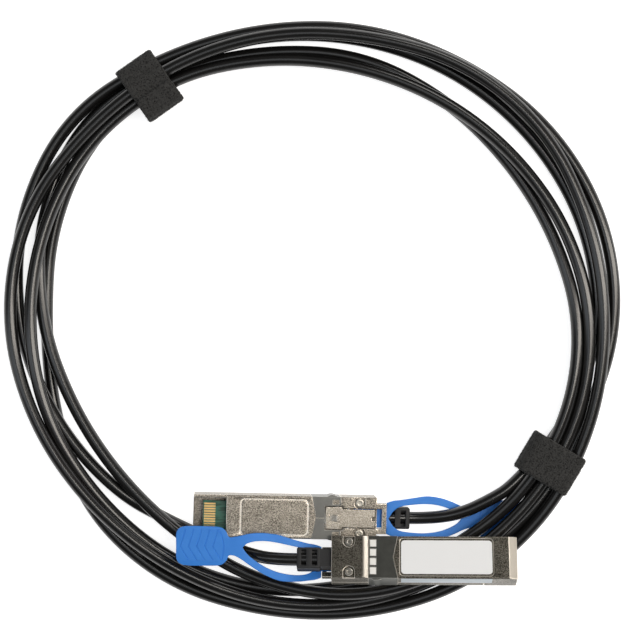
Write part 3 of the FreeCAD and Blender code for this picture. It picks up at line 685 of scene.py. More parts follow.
def smooth_line(points: Sequence[Sequence[float]], steps: int) -> np.ndarray:
    """Pass a smooth line through points.

    Args:
        points: Points in order.
        steps: Points made for each gap.

    Returns:
        Array of points, with both ends kept.
    """
    given = np.array(points, float)
    padded = np.vstack([2 * given[0] - given[1], given, 2 * given[-1] - given[-2]])
    share = np.linspace(0, 1, steps, endpoint=False)[:, None]
    runs = []
    for before, start, end, after in zip(padded, padded[1:], padded[2:], padded[3:]):
        runs.append(0.5 * (2 * start + (end - before) * share
                           + (2 * before - 5 * start + 4 * end - after) * share ** 2
                           + (3 * start - before - 3 * end + after) * share ** 3))
    return np.vstack(runs + [given[-1:]])


# -------- plugs
@dataclass(frozen=True)
class PlugFrame:
    """Where a plug lies: x from its nose to the cable, y across, z up on the label side."""

    letter: str
    matrix: Matrix
    pivot: Colour = (48.9, 0.0, -3.4)

    @classmethod
    def of(cls, letter: str) -> "PlugFrame":
        """Read a plug's place from the joints of its latch.

        Args:
            letter: Letter of the plug.

        Returns:
            Frame from plug millimetres to metres.
        """
        joints = {joint["name"]: joint for joint in frame["joints"]}
        along = Vector(joints[f"pull_{letter}"]["axis"]).normalized()
        across = Vector(joints[f"latch_{letter}"]["axis"]).normalized()
        up = along.cross(across)
        turn = Matrix((along, across, up)).transposed()
        origin = Vector(joints[f"latch_{letter}"]["pos_m"]) - turn @ (Vector(cls.pivot) * MM)
        return cls(letter, Matrix.LocRotScale(origin, turn.to_quaternion(), (MM, MM, MM)))

    def at(self, x: float, y: float, z: float) -> Vector:
        """Place a point of the plug in the shared frame."""
        return self.matrix @ Vector((x, y, z))


@dataclass
class PullTab:
    """Soft blue tab: tongue under the latch lever, finger loop and grip pad."""

    plug: PlugFrame
    droop: float
    lean: float
    level: float
    twist: float
    thickness: float = 0.9
    height: float = -2.35
    tongue: float = 10.6
    tongue_half_width: float = 2.9
    start: float = 61.3
    flex_start: float = 2.0
    flex_length: float = 25.0
    twist_length: float = 10.0
    edge: float = 0.2
    groove_radius: float = 0.2
    groove_pitch: float = 2.55
    groove_height: float = 0.04
    first_groove: float = 44.1
    cut_step: float = 0.8
    outer: tuple = ((0.0, 4.9), (0.6, 5.2), (2.2, 5.7), (4.6, 6.0), (9.0, 6.65), (13.0, 7.15),
                    (17.0, 6.7), (20.5, 5.7), (23.2, 4.6), (24.6, 3.9), (27.0, 3.0),
                    (28.8, 2.9), (29.6, 4.4), (30.8, 5.6), (32.6, 6.1), (37.0, 6.2),
                    (42.2, 6.15), (44.2, 5.6), (45.1, 4.6), (45.4, 3.4), (45.4, 0.0))
    inner: tuple = ((0.6, 0.0), (2.2, 2.4), (4.6, 3.9), (9.0, 4.5), (13.0, 4.65), (17.0, 4.2),
                    (20.5, 3.1), (23.2, 1.6), (24.6, 0.0))

    @staticmethod
    def eased(share: float) -> float:
        """Go smoothly from 0 to 1 as share does, and stay there."""
        share = min(1.0, max(0.0, share))
        return share * share * (3 - 2 * share)

    def flexed(self, behind: float, across: float, above: float) -> Vector:
        """Bend a point of the flat tab as the tab lies.

        Args:
            behind: Distance behind the start of the tail.
            across: Distance across.
            above: Distance above the middle of the sheet.

        Returns:
            The point in the shared frame.
        """
        bent = behind - self.flex_start
        share = min(1.0, max(0.0, bent / self.flex_length))
        twist = math.radians(self.twist) * self.eased(bent / self.twist_length)
        sloped = self.flex_length * (share ** 3 - share ** 4 / 2)
        sloped += max(0.0, bent - self.flex_length)
        height = self.height + self.droop * self.eased(share) + self.level * sloped
        return self.plug.at(self.start + behind,
                            self.lean * share * self.eased(share)
                            + across * math.cos(twist) - above * math.sin(twist),
                            height + across * math.sin(twist) + above * math.cos(twist))

    def plate(self) -> Object:
        """Make the flat tab, its edges rounded and its loop open.

        Returns:
            Passing object in the plug's millimetres.
        """
        half = smooth_line(self.outer, 6)
        rim = [(-self.tongue, self.tongue_half_width), (-0.02, self.tongue_half_width)]
        rim += [tuple(point) for point in half[:-1]]
        rim += [(behind, -across) for behind, across in reversed(rim)]
        hole = [tuple(point) for point in smooth_line(self.inner, 6)]
        hole += [(behind, -across) for behind, across in reversed(hole[1:-1])]
        sheet = bpy.data.curves.new("tab_outline", "CURVE")
        sheet.dimensions = "2D"
        sheet.fill_mode = "BOTH"
        for outline in (rim, hole):
            drawn(sheet, "POLY", [(*point, 0) for point in outline]).use_cyclic_u = True
        sheet.extrude = self.thickness / 2 - self.edge
        sheet.bevel_depth = self.edge
        sheet.bevel_resolution = 2
        sheet.offset = -self.edge
        return solid(sheet)

    def groove_paths(self) -> list[list[tuple[float, float]]]:
        """List the middle lines of the pad's grooves: chevrons and a closing arc.

        Returns:
            Points of each line: how far behind the tail's start, and across.
        """
        paths = []
        for index in range(5):
            tip = self.first_groove - index * self.groove_pitch
            paths.append([(tip - 2.6, 4.4), (tip - 0.3, 0.5), (tip, 0.0), (tip - 0.25, -0.5),
                          (tip - 1.7, -5.2)])
        first = paths[-1]
        paths.append([first[0], (30.9, 3.4), (30.4, 0.0), (31.1, -3.6), first[-1]])
        return paths

    def cutter(self) -> Object:
        """Make the bars that press the grooves into both faces of the pad.

        Returns:
            Passing object of the bars.
        """
        bars = bpy.data.curves.new("grooves", "CURVE")
        bars.dimensions = "3D"
        bars.bevel_depth = self.groove_radius
        bars.bevel_resolution = 1
        bars.use_fill_caps = True
        level = self.thickness / 2 + self.groove_height
        for side in (level, -level):
            for path in self.groove_paths():
                drawn(bars, "POLY", [(*point, side) for point in smooth_line(path, 4)])
        return solid(bars)

    def build(self) -> None:
        plate, cutter = self.plate(), self.cutter()
        press = plate.modifiers.new("grooves", "BOOLEAN")
        press.operation = "DIFFERENCE"
        press.object = cutter
        press.solver = "EXACT"
        press.use_self = True
        mesh = applied(plate)
        bpy.data.objects.remove(cutter)
        with editing(mesh) as work:
            flex_end = self.flex_start + self.flex_length + 1
            for behind in np.arange(self.flex_start, flex_end, self.cut_step):
                cut_across(work, (behind, 0, 0), (1, 0, 0))
            bmesh.ops.triangulate(work, faces=work.faces)
            for vertex in work.verts:
                vertex.co = self.flexed(*vertex.co)
            bmesh.ops.recalc_face_normals(work, faces=work.faces)
        letter = self.plug.letter
        adopt(f"tab_{letter}_sheet", shaded(mesh, 35), Palette.TAB, f"tab_{letter}",
              f"pull_tab_{letter}")


@dataclass
class Plug:
    """Hard parts of one plug, with rounded edges and their finishes."""

    plug: PlugFrame
    casting: Finish
    collar: Finish
    soften: float = 0.17 * MM
    socket: float = 0.3 * MM
    # The step, the groove floor round the panel and faces within the lean range get a painted
    # highlight.
    high: float = 4.4
    step_end: float = 48.2
    groove_floor: float = -4.03
    highlight_lean: tuple = (0.15, 0.8)

    def parts(self) -> dict[str, tuple[Finish, float]]:
        """List the frame's nodes with their finish and the rounding of their edges.

        Returns:
            Finish and rounding by the start of a node's name.
        """
        small = self.soften / 2
        return {
            "upper_shell": (self.casting, self.soften), "lower_shell": (self.casting, self.soften),
            "spring_collar": (self.collar, small / 2), "screws": (Palette.SCREW, small),
            "latch_lever": (Palette.LEVER, small), "latch_pin": (Palette.PIN, small),
            "latch_spring": (Palette.PIN, small / 2), "circuit_board": (Palette.BOARD, small / 2),
            "contact_pads": (Palette.GOLD, small / 7), "memory_chip": (Palette.CHIP, small),
            "signal_cores": (Palette.CORES, small), "cable_clamp": (Palette.COPPER, small / 2)}

    def highlighted(self, face: BMFace) -> bool:
        """Tell whether a face is smooth and gets a painted highlight.

        Args:
            face: Face in the shared frame.

        Returns:
            True on the step, in the groove round the panel and where the face leans.
        """
        back = self.plug.matrix.inverted()
        lean = abs((back.to_quaternion() @ face.normal).x)
        place = back @ face.calc_center_median()
        step = abs(place.z) > self.high and place.x < self.step_end
        groove = abs(place.z - self.groove_floor) < 0.02
        return step or groove or self.highlight_lean[0] < lean < self.highlight_lean[1]

    def build(self) -> None:
        """Dress every hard part; the leaf spring, which bends on the real plug, keeps its own mesh
        and only gets its finish.
        """
        letter = self.plug.letter
        split = (self.plug.at(self.step_end, 0, 0), self.plug.matrix.to_3x3() @ Vector((1, 0, 0)))
        for part, (finish, radius) in self.parts().items():
            node = f"{part}_{letter}"
            if part == "latch_spring":
                refinish(frame["nodes"][node].data, finish)
                continue
            shell = part.endswith("shell")
            body = f"lever_{letter}" if part == "latch_lever" else "cable"
            mesh = softened(node, radius, self.socket if part == "screws" else 0.0,
                            split if shell else None, self.highlighted if shell else None)
            adopt(f"{node}_dressed", mesh, finish, body, node)


@dataclass
class Boot:
    """Moulded strain relief: a neck in the housing and a block slotted above and below."""

    plug: PlugFrame
    neck: tuple = ((55.7, 62.0), (-2.9, 2.9), (-1.5, 3.2))
    block: tuple = ((61.35, 68.9), (-3.4, 3.4), (-1.55, 3.25))
    rounding: float = 0.55
    rim: float = 0.12
    slot_fronts: tuple = (62.5, 65.9)
    slot_length: float = 1.6
    slot_half_width: float = 2.55
    slot_depth: float = 1.6

    @staticmethod
    def brick(work: BMesh, spans: Sequence[Sequence[float]]) -> list:
        """Add a box.

        Args:
            work: Mesh being built.
            spans: Start and end along each axis.

        Returns:
            Edges of the box.
        """
        middle = Vector([(low + high) / 2 for low, high in spans])
        size = Vector([high - low for low, high in spans])
        made = bmesh.ops.create_cube(work, size=1.0, matrix=Matrix.LocRotScale(
            middle, None, size))
        return list({edge for vertex in made["verts"] for edge in vertex.link_edges})

    def slots(self) -> Object:
        """Make the bars that the slots are cut with.

        Returns:
            Passing object of the bars.
        """
        mesh = bpy.data.meshes.new("slots")
        (low, high), half = self.block[2], self.slot_half_width
        with editing(mesh) as work:
            for front in self.slot_fronts:
                span = (front, front + self.slot_length)
                self.brick(work, (span, (-half, half), (high - self.slot_depth, high + 1)))
                self.brick(work, (span, (-half, half), (low - 1, low + self.slot_depth)))
        return linked("passing", mesh)

    def build(self) -> None:
        mesh = bpy.data.meshes.new("boot_block")
        with editing(mesh) as work:
            bmesh.ops.bevel(work, geom=self.brick(work, self.block), offset=self.rounding,
                            segments=3, profile=0.5, affect="EDGES")
        piece, bars = linked("passing", mesh), self.slots()
        cut = piece.modifiers.new("slots", "BOOLEAN")
        cut.operation = "DIFFERENCE"
        cut.object = bars
        cut.solver = "EXACT"
        rim = piece.modifiers.new("rims", "BEVEL")
        rim.width = self.rim
        rim.segments = 2
        rim.limit_method = "ANGLE"
        rim.angle_limit = math.radians(50)
        mesh = applied(piece)
        bpy.data.objects.remove(bars)
        with editing(mesh) as work:
            self.brick(work, self.neck)
            bmesh.ops.transform(work, matrix=self.plug.matrix, verts=work.verts)
        letter = self.plug.letter
        adopt(f"boot_{letter}", shaded(mesh, 40), Palette.BOOT, "cable",
              f"strain_relief_{letter}")


@dataclass
class Tongues:
    """Row of tongues that fill the windows of a collar, painted near white as a painted glint."""

    plug: PlugFrame
    count: int = 4
    pitch: float = 2.95
    start: Colour = (44.95, -4.425, 4.1)
    size: Colour = (1.9, 2.15, 0.16)
    tilt: float = 3.0

    def growth(self) -> Growth:
        """Build the node tree that sets tongues out in a row.

        Returns:
            The tree.
        """
        growth = Growth("tongues", {"Count": "Int", "Start": "Vector", "Step": "Vector",
                                    "Size": "Vector", "Turn": "Vector", "Finish": "Material"})
        given = growth.given
        row = growth.node("GeometryNodeMeshLine", {
            "Count": given["Count"], "Start Location": given["Start"], "Offset": given["Step"]},
            mode="OFFSET")
        tongue = growth.node("GeometryNodeMeshCube", {"Size": given["Size"]})
        tongue = growth.node("GeometryNodeTransform", {"Geometry": tongue,
                                                       "Rotation": given["Turn"]})
        return growth.finish(growth.node("GeometryNodeInstanceOnPoints", {
            "Points": row, "Instance": tongue}))

    def build(self) -> None:
        mesh = self.growth().grow(bpy.data.meshes.new("tongues"), {
            "Count": self.count, "Start": self.start, "Step": (0.0, self.pitch, 0.0),
            "Size": self.size, "Turn": (0.0, -math.radians(self.tilt), 0.0),
            "Finish": Palette.TONGUE_GLINT.material()})
        mesh.transform(self.plug.matrix)
        adopt(f"tongues_{self.plug.letter}", mesh, Palette.TONGUE_GLINT, "cable")


def dress_labels() -> None:
    """Dress the bare label and the bare side strip of plug B."""
    for node, finish in (("face_label_b", Palette.LABEL), ("side_label_b", Palette.STRIP)):
        adopt(f"{node}_sheet", softened(node, LABEL_EDGE), finish, "cable", node)


# -------- cable
@dataclass
class Cable:
    """The cable from boot to boot, laid along given points outside the coil and settled in it."""

    plug_a: PlugFrame
    plug_b: PlugFrame
    diameter: float = 4.0
    length: float = 2.775
    centre: tuple = (-12.2, 68.53)
    boot_end: Colour = (68.9, 0.0, 0.85)
    lead_a: float = 7.0
    lead_b: float = 5.5
    route_a: tuple = ((34.2, 7.3, 4.7), (42.7, 11.2, 5.0), (51.6, 16.4, 4.6))
    route_b: tuple = ((-31.1, -5.4, 11.2), (-45.1, -1.4, 2.2), (-56.9, 3.7, 2.05))
    step: float = 20.0
    first: float = -20.0
    # Radius of the middle line every 20 degrees, one row for each turn as it was laid.
    lanes: tuple = (
        (86.5,),
        (90.5, 91.25, 91.0, 91.5, 91.75, 92.75, 94.75, 97.5, 92.5,
         86.0, 80.75, 79.0, 80.0, 84.25, 88.25, 89.25, 88.75, 88.75),
        (87.5, 84.75, 82.0, 81.0, 81.75, 84.75, 89.5, 91.75, 90.75,
         90.0, 90.0, 89.0, 88.5, 87.0, 84.5, 83.75, 85.0, 85.0),
        (83.75, 80.5, 79.75, 81.75, 85.5, 87.25, 91.25, 92.0, 88.75,
         85.5, 87.5, 93.5, 94.75, 93.0, 93.5, 95.5, 94.5, 92.75),
        (91.75, 92.25, 94.5, 94.0, 91.5, 92.0, 92.5, 93.5, 97.25,
         96.75, 92.75, 90.0, 89.75, 90.5, 90.75, 90.5, 92.5, 91.75),
        (96.0, 97.5, 96.75, 94.0, 93.5, 93.5, 96.0, 101.25, 99.0, 94.25, 88.75, 82.5))
    # Which turn lies on which, from the top down, up to each angle.
    stacks: tuple = ((55, (3, 1, 4, 0, 2)), (112, (3, 4, 0, 1, 2)), (150, (1, 3, 4, 0, 2)),
                     (192, (3, 1, 4, 0, 2)), (250, (3, 1, 0, 4, 2)), (297, (0, 3, 2, 1, -1)),
                     (360, (2, 0, 1, 3, -1)))

    def stack(self, angle: float) -> tuple[int, ...]:
        """Find the order of the turns, from the top down, at an angle."""
        return next(turns for end, turns in self.stacks if angle % 360 < end)

    def polar(self, point: Sequence[float], turn: int) -> tuple[float, float]:
        """Express a point as an angle counted through the turns and a radius."""
        x, y = point[0] - self.centre[0], point[1] - self.centre[1]
        return math.degrees(math.atan2(y, x)) % 360 + 360 * turn, math.hypot(x, y)

    def settled(self) -> np.ndarray:
        """Let the turns sink on to each other and the table.

        Returns:
            Control points of the turns, in millimetres.
        """
        start, end = self.polar(self.route_a[-1], -1), self.polar(self.route_b[-1], 4)
        laid = [radius for lane in self.lanes for radius in lane]
        angles = np.array([start[0]] + [self.first + self.step * n for n in range(len(laid))]
                          + [end[0]])
        radii = np.array([start[1]] + laid + [end[1]])
        pile = CoilPile(angles, radii, self.diameter, self.stack)
        heights = pile.settle(self.route_a[-1][2], self.route_b[-1][2])
        radii = pile.radii
        turns = np.radians(angles[1:-1])
        outside = radii[1:-1] / math.cos(math.radians(self.step / 2))
        return np.column_stack([self.centre[0] + outside * np.cos(turns),
                                self.centre[1] + outside * np.sin(turns), heights[1:-1]])

    def route(self) -> list[Vector]:
        """List the control points from boot A to boot B, in metres.

        Returns:
            Points in the shared frame.
        """
        x, y, z = self.boot_end
        free = [*self.route_a, *self.settled(), *reversed(self.route_b)]
        return [self.plug_a.at(x, y, z), self.plug_a.at(x + self.lead_a, y, z),
                *(Vector(point) * MM for point in free),
                self.plug_b.at(x + self.lead_b, y, z), self.plug_b.at(x, y, z)]

    def build(self, ties: Sequence[Object]) -> None:
        """Args:
            ties: Fabric ties round the turns; not used.
        """
        points = self.route()
        line = bpy.data.curves.new("cable_line", "CURVE")
        line.dimensions = "3D"
        spline = drawn(line, "NURBS", points)
        spline.order_u = 3
        spline.use_endpoint_u = True
        spline.use_smooth = True
        spline.resolution_u = 12
        line.bevel_depth = self.diameter / 2 * MM
        line.bevel_resolution = 8
        line.materials.append(Palette.JACKET.material())
        cable = linked("cable_jacket", line)
        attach(cable, "cable")
        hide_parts("cable_coil", "cable_tube_a", "cable_tube_b")
        tuple(points[0])
        self.diameter * MM
        log.info("cable: %d control points", len(points))


@dataclass
class CoilPile:
    """Pile of turns: where they cross, the upper one is pushed up until it clears the lower.

    It knows the angle of each control point, counted through the turns in degrees, the radius
    that each was laid at, and the order of the turns, from the top down, at any angle. The
    lowest turns lie on the table, and on the pull tab of plug A at the risen angles.
    """

    angles: np.ndarray
    laid: np.ndarray
    diameter: float
    stack: Callable[[float], tuple[int, ...]]
    samples: int = 4
    table: float = 2.06
    rise: float = 1.6
    risen: tuple = (290.0, 302.0, 318.5, 329.0)
    sector: float = 2.5
    closeness: float = 0.97
    beside: float = 0.65
    weight: float = 0.03
    stiffness: float = 0.03
    hold: float = 0.15
    most_shift: float = 0.8
    drag: float = 0.9
    pace: float = 0.02
    rounds: int = 600

    def __post_init__(self) -> None:
        """Spread samples along the control points and pair those that lie at one angle."""
        self.radii = self.laid.copy()
        self.reach = self.diameter * self.closeness
        count = len(self.angles)
        share = (np.arange(self.samples) + 0.5) / self.samples
        pull = np.column_stack([0.5 * (1 - share) ** 2, 0.5 + share - share ** 2,
                                0.5 * share ** 2])
        self.spread = np.zeros(((count - 2) * self.samples, count))
        for index in range(count - 2):
            rows = slice(index * self.samples, (index + 1) * self.samples)
            self.spread[rows, index:index + 3] = pull
        self.upper, self.lower = self.crossings()

    def crossings(self) -> tuple[np.ndarray, np.ndarray]:
        """Pair the samples that lie at one angle of the coil.

        Returns:
            Indices of the upper and of the lower sample of each pair.
        """
        through = self.spread @ self.angles
        places: dict[int, dict[int, int]] = {}
        for index, angle in enumerate(through):
            key = round(angle % 360 / self.sector)
            places.setdefault(key, {})[math.floor(angle / 360)] = index
        pairs = []
        for key, here in places.items():
            turns = [turn for turn in self.stack(key * self.sector) if turn in here]
            pairs += [(here[above], here[below]) for rank, above in enumerate(turns)
                      for below in turns[rank + 1:]]
        upper, lower = np.array(pairs).T
        return upper, lower

    def push(self, radii: np.ndarray, heights: np.ndarray) -> tuple[np.ndarray, np.ndarray]:
        """Find how far each pair of samples has to part.

        Args:
            radii: Radius of each sample.
            heights: Height of each sample.

        Returns:
            Outward and upward push on the upper sample of each pair.
        """
        aside = radii[self.upper] - radii[self.lower]
        above = heights[self.upper] - heights[self.lower]
        needed = np.sqrt(np.maximum(self.reach ** 2 - aside ** 2, 0))
        apart = np.hypot(aside, above) + 1e-6
        beside = np.abs(aside) > self.beside * self.reach
        overlap = np.where(beside & (apart < self.reach), self.reach / apart - 1, 0)
        lift = np.where(~beside & (above < needed), needed - above, 0)
        slip = np.sign(aside) * np.minimum(np.abs(aside) / np.maximum(needed, 0.8), 2.0)
        return lift * slip + overlap * aside, lift + overlap * above

    def settle(self, start_height: float, end_height: float) -> np.ndarray:
        """Settle the pile.

        Args:
            start_height: Height of the first control point, which stays.
            end_height: Height of the last control point, which stays.

        Returns:
            Height of each control point.
        """
        heights = np.empty(len(self.angles))
        for index, angle in enumerate(self.angles):
            turns = self.stack(angle + 0.01)
            turn = math.floor(angle / 360)
            rank = turns[::-1].index(turn) if turn in turns else 1
            heights[index] = self.table + rank
        ground = self.table + self.rise * np.interp(
            (self.spread @ self.angles) % 360, self.risen, (0, 1, 1, 0), left=0, right=0)
        bend = np.diff(np.eye(len(heights)), 2, axis=0)
        bend = bend.T @ bend
        rising, drifting = np.zeros_like(heights), np.zeros_like(heights)
        total = len(self.spread)
        for _ in range(self.rounds):
            high, wide = self.spread @ heights, self.spread @ self.radii
            outward, upward = self.push(wide, high)
            lift = np.bincount(self.upper, upward, total) - np.bincount(self.lower, upward, total)
            shove = (np.bincount(self.upper, outward, total)
                     - np.bincount(self.lower, outward, total))
            lift += 2 * np.maximum(ground - high, 0)
            rising = self.drag * rising + self.pace * (
                self.spread.T @ lift - self.weight - self.stiffness * bend @ heights)
            drifting = self.drag * drifting + self.pace * (
                self.spread.T @ shove - self.hold * (self.radii - self.laid))
            heights += rising
            self.radii = np.clip(self.radii + drifting, self.laid - self.most_shift,
                                 self.laid + self.most_shift)
            heights[0], heights[-1] = start_height, end_height
            self.radii[0], self.radii[-1] = self.laid[0], self.laid[-1]
        return heights


# -------- ties
@dataclass
class TieStrap:
    """Hook-and-loop tape wound round the turns, its free end lying on top."""

    name: str
    angle: float
    radius: float
    height: float
    free_end: float
    centre: tuple = (-12.2, 68.53)
    width: float = 13.4
    span: float = 18.0
    thickness: float = 1.0
    corner: float = 2.2
    overlap: float = 4.6
    end_bend: float = 1.6
    columns: int = 9
    outer_turn: float = 1.75
    lap_steps: tuple = (2.4, 1.6, 1.1, 0.7, 0.4, 0.2, 0)
    fuzz_seed: int = 3

    def outline(self, away: float) -> np.ndarray:
        """Trace the rounded section of the wound tape, from the top's middle round outwards.

        Args:
            away: Distance of the line from the inside of the tape.

        Returns:
            Points of (outwards, up), evenly spaced.
        """
        half, high = self.span / 2 - self.thickness + away, self.height - self.thickness + away
        low = self.thickness - away
        bend = self.corner + away - self.thickness / 2
        points = []
        for quarter, (side, level) in enumerate(((half, high), (half, low), (-half, low),
                                                 (-half, high))):
            middle = (side - math.copysign(bend, side), level - bend if level == high
                      else level + bend)
            for step in range(7):
                turn = math.radians(90 - 90 * quarter - 15 * step)
                points.append((middle[0] + bend * math.cos(turn),
                               middle[1] + bend * math.sin(turn)))
        return np.array([(0.0, high)] + points + [(0.0, high)])

    def tape_line(self) -> np.ndarray:
        """Follow the tape from its inner end on top, round once and over itself.

        Returns:
            Points of (outwards, up) along the middle of the tape.
        """
        inner = self.outline(self.thickness / 2)
        outer = self.outline(self.thickness * self.outer_turn)
        share = np.linspace(0, 1, len(inner))[:, None] ** 3
        turn = inner * (1 - share) + outer * share
        turn[0, 0] = self.free_end - self.overlap
        lap = [(self.free_end - back, turn[-1, 1]) for back in self.lap_steps]
        return np.vstack([turn[:-1], lap])

    def skins(self, work: BMesh) -> list[list[list[BMVert]]]:
        """Set out the points of both faces of the tape along its line.

        Args:
            work: Mesh being built.

        Returns:
            Rows of points across the upper face and across the lower face.
        """
        line = self.tape_line()
        tangent = np.gradient(line, axis=0)
        tangent /= np.linalg.norm(tangent, axis=1)[:, None]
        normal = np.column_stack([-tangent[:, 1], tangent[:, 0]])
        turn = math.radians(self.angle)
        out = Vector((math.cos(turn), math.sin(turn), 0))
        side = Vector((-math.sin(turn), math.cos(turn), 0))
        centre = Vector((*self.centre, 0)) + self.radius * out
        left = np.linalg.norm(np.diff(line, axis=0), axis=1)[::-1].cumsum()[::-1]
        left = np.append(left, 0.0)
        skins = []
        for skin in (0.5, -0.5):
            rows = []
            for (x, z), (nx, nz), rest in zip(line, normal, left):
                trim = max(0.0, 1 - rest / self.end_bend)
                half = self.width / 2 - self.end_bend * (1 - math.sqrt(1 - trim * trim))
                rows.append([work.verts.new(
                    (centre + out * (x + skin * self.thickness * nx) + side * half * column
                     + Vector((0, 0, z + skin * self.thickness * nz))) * MM)
                    for column in np.linspace(-1, 1, self.columns)])
            skins.append(rows)
        return skins

    def sheet(self) -> Mesh:
        """Join the tape's two faces, close its edges and round them.

        Returns:
            Mesh of the bare tape.
        """
        mesh = bpy.data.meshes.new(self.name)
        with editing(mesh) as work:
            top, low = self.skins(work)
            last = len(top[0]) - 1
            for row in range(len(top) - 1):
                for column in range(last):
                    for rows, order in ((top, 1), (low, -1)):
                        work.faces.new([rows[row][column], rows[row + 1][column],
                                        rows[row + 1][column + 1], rows[row][column + 1]
                                        ][::order])
                for column in (0, last):
                    work.faces.new([top[row][column], low[row][column], low[row + 1][column],
                                    top[row + 1][column]])
            for row in (0, len(top) - 1):
                for column in range(last):
                    work.faces.new([top[row][column], top[row][column + 1],
                                    low[row][column + 1], low[row][column]])
            bmesh.ops.recalc_face_normals(work, faces=work.faces)
        mesh.shade_smooth()
        piece = linked("passing", mesh)
        crease = piece.modifiers.new("rounding", "SUBSURF")
        crease.levels = crease.render_levels = 1
        return applied(piece)

    def build(self) -> Object:
        """Returns:
            The finished tie.
        """
        mesh = Nap(self.fuzz_seed).cover(self.sheet())
        for vertex in mesh.vertices:
            vertex.co.z = max(vertex.co.z, 0.01 * MM)
        return adopt(f"{self.name}_tape", mesh, Palette.STRAP, "cable", self.name)


@dataclass
class Nap:
    """Short loops of thread that stand all over a tape."""

    seed: int
    density: float = 2.8e6
    loop: float = 0.5 * MM
    thread: float = 0.06 * MM
    lean: float = 0.7

    def growth(self) -> Growth:
        """Build the node tree that strews loops over a surface.

        Returns:
            The tree.
        """
        growth = Growth("nap", {"Geometry": "Geometry", "Density": "Float", "Loop": "Float",
                                "Thread": "Float", "Seed": "Int", "Finish": "Material"})
        given = growth.given
        strewn = growth.node("GeometryNodeDistributePointsOnFaces", {
            "Mesh": given["Geometry"], "Density": given["Density"], "Seed": given["Seed"]})
        ring = growth.node("GeometryNodeCurvePrimitiveCircle", {
            "Resolution": 6, "Radius": given["Loop"] * 0.5}, mode="RADIUS")
        ring = growth.node("GeometryNodeTransform", {"Geometry": ring,
                                                     "Rotation": (math.pi / 2, 0.0, 0.0)})
        section = growth.node("GeometryNodeCurvePrimitiveCircle", {
            "Resolution": 3, "Radius": given["Thread"] * 0.5}, mode="RADIUS")
        loop = growth.node("GeometryNodeCurveToMesh", {"Curve": ring, "Profile Curve": section})
        spin = growth.node("FunctionNodeRandomValue", {
            "Min": (-self.lean, -self.lean, 0.0), "Max": (self.lean, self.lean, 6.28),
            "Seed": given["Seed"]},
            data_type="FLOAT_VECTOR")
        turned = growth.node("FunctionNodeRotateRotation", {
            "Rotation": strewn.beside("Rotation"), "Rotate By": spin}, rotation_space="LOCAL")
        planted = growth.node("GeometryNodeInstanceOnPoints", {
            "Points": strewn, "Instance": loop, "Rotation": turned})
        joined = growth.node("GeometryNodeJoinGeometry", {0: planted})
        growth.feed(joined.source.node.inputs[0], given["Geometry"])
        return growth.finish(joined)

    def cover(self, mesh: Mesh) -> Mesh:
        """Cover a tape with nap.

        Args:
            mesh: Mesh of the bare tape.

        Returns:
            Mesh of the tape with its nap.
        """
        return self.growth().grow(mesh, {
            "Density": self.density, "Loop": self.loop, "Thread": self.thread,
            "Seed": self.seed, "Finish": Palette.STRAP.material()})


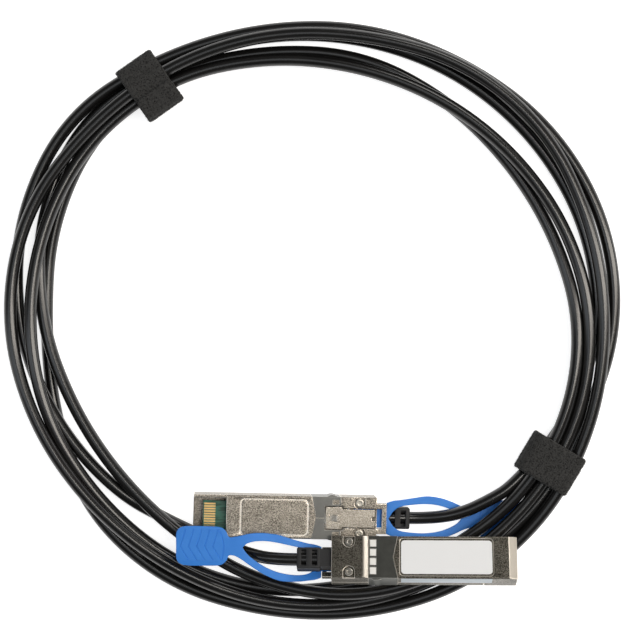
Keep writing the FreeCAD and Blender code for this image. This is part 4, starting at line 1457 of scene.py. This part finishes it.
# -------- studio
@dataclass
class Studio:
    """Pale floor, white surroundings, soft lamps and the camera."""

    camera_place: Colour = (-12.2, 70.73, 600.0)
    lens: float = 106.57
    floor_size: float = 6.0
    room: float = 0.25
    ceiling: float = 0.1
    ceiling_rise: tuple = (0.35, 0.15)
    floor_glow: float = 0.78
    lamp_distance: float = 1.3
    # Name, direction, width, length, strength and colour of each lamp.
    lamps: tuple = (("key", (0.62, 0.1, 0.78), 0.24, 1.5, 1.9, (1.0, 0.94, 0.86)),
                    ("back", (0.38, 0.68, 0.62), 0.5, 0.3, 0.5, (1.0, 0.97, 0.93)),
                    ("fill", (-0.66, -0.1, 0.7), 0.3, 1.3, 0.32, (0.86, 0.93, 1.0)),
                    ("crown", (-0.1, 0.0, 1.0), 0.7, 0.9, 0.3, (0.92, 0.96, 1.0)))

    @staticmethod
    def rays(graph: Graph) -> list[Socket]:
        """Tell the rays of the eye, of mirrors and of glass from the rest."""
        return [graph.node("ShaderNodeLightPath", output=f"Is {kind} Ray")
                for kind in ("Camera", "Glossy", "Transmission")]

    def floor(self) -> None:
        """Lay the floor; the eye and mirrors see it a little brighter than its light makes it."""
        mesh = bpy.data.meshes.new("floor")
        half = self.floor_size / 2
        mesh.from_pydata([(-half, -half, 0), (half, -half, 0), (half, half, 0),
                          (-half, half, 0)], [], [(0, 1, 2, 3)])
        paint = bpy.data.materials.new("floor_paint")
        paint.use_nodes = True
        skin = Skin(paint.node_tree)
        skin.give("Base Color", (0.8, 0.8, 0.8, 1))
        skin.give("Roughness", 0.9)
        skin.give("Specular IOR Level", 0.0)
        eye, mirror, glass = self.rays(skin)
        seen = eye.maths("MAXIMUM", eye, mirror.maths("MAXIMUM", mirror, glass))
        dark, glow = (skin.node("ShaderNodeEmission", {"Color": (1, 1, 1, 1), "Strength": strength})
                      for strength in (0.0, self.floor_glow))
        extra = skin.node("ShaderNodeMixShader", {0: seen, 1: dark, 2: glow})
        lit = Socket(skin, paint.node_tree.nodes["Principled BSDF"].outputs[0])
        skin.feed(paint.node_tree.nodes["Material Output"].inputs["Surface"],
                  skin.node("ShaderNodeAddShader", {0: lit, 1: extra}))
        mesh.materials.append(paint)
        linked("floor", mesh)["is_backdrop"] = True

    def surroundings(self) -> None:
        """Make the world white all round, with a dark ceiling, and softer as a light."""
        world = bpy.data.worlds.new("surroundings")
        world.use_nodes = True
        graph = Graph(world.node_tree)
        background = world.node_tree.nodes["Background"]
        background.inputs["Color"].default_value = (1, 1, 1, 1)
        way = graph.node("ShaderNodeTexCoord", output="Generated")
        height = graph.node("ShaderNodeSeparateXYZ", {0: way}, "Z")
        walls = graph.ranged(height, *self.ceiling_rise, self.ceiling)
        eye, mirror, glass = self.rays(graph)
        others = 1 - mirror - glass
        graph.feed(background.inputs["Strength"],
                   eye + (1 - eye) * (mirror * walls + glass + others * self.room))
        bpy.context.scene.world = world

    def light(self) -> None:
        """Hang the lamps round the coil, each aimed at it."""
        target = Vector((*self.camera_place[:2], 0.0)) * MM
        for name, way, width, length, share, colour in self.lamps:
            lamp = bpy.data.lights.new(name, "AREA")
            lamp.color = colour
            lamp.shape = "RECTANGLE"
            lamp.size, lamp.size_y = width, length
            lamp.energy = share * math.pi * self.lamp_distance ** 2
            holder = linked(name, lamp)
            way = Vector(way).normalized()
            holder.location = target + way * self.lamp_distance
            holder.rotation_euler = way.to_track_quat("Z", "Y").to_euler()

    def camera(self) -> None:
        """Place the camera straight above the coil."""
        data = bpy.data.cameras.new("camera")
        data.lens = self.lens
        data.sensor_width = 36.0
        data.clip_start = 0.01
        holder = linked("camera", data)
        holder.location = Vector(self.camera_place) * MM
        bpy.context.scene.camera = holder

    def build(self) -> None:
        """Set up the whole studio."""
        bpy.context.scene.view_settings.view_transform = "Standard"
        self.camera()
        self.floor()
        self.surroundings()
        self.light()


def keep_sizes() -> None:
    """Work out the frame's box and the dressed model's box."""
    boxes = [[list(corner) for corner in box] for box in (cad_box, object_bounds())]


def main() -> None:
    """Dress the cable and report each piece."""
    logging.basicConfig(level=logging.INFO, format="%(name)s: %(message)s")
    Studio().build()
    plug_a, plug_b = PlugFrame.of("a"), PlugFrame.of("b")
    ties = [TieStrap("tie_strap_a", 125.0, 91.9, 12.0, -2.9).build(),
            TieStrap("tie_strap_b", -31.0, 87.6, 10.6, 5.6, fuzz_seed=8).build()]
    Cable(plug_a, plug_b).build(ties)
    Plug(plug_a, Palette.CASTING_A, Palette.COLLAR_A).build()
    Plug(plug_b, Palette.CASTING_B, Palette.COLLAR_B).build()
    for plug in (plug_a, plug_b):
        Boot(plug).build()
        Tongues(plug).build()
        refinish(frame["nodes"][f"cable_root_{plug.letter}"].data, Palette.JACKET)
    dress_labels()
    PullTab(plug_a, droop=4.7, lean=0.0, level=-0.0717, twist=0.0).build()
    PullTab(plug_b, droop=6.5, lean=-3.1, level=0.035, twist=-23.0).build()
    keep_sizes()


if __name__ == "__main__":
    main()
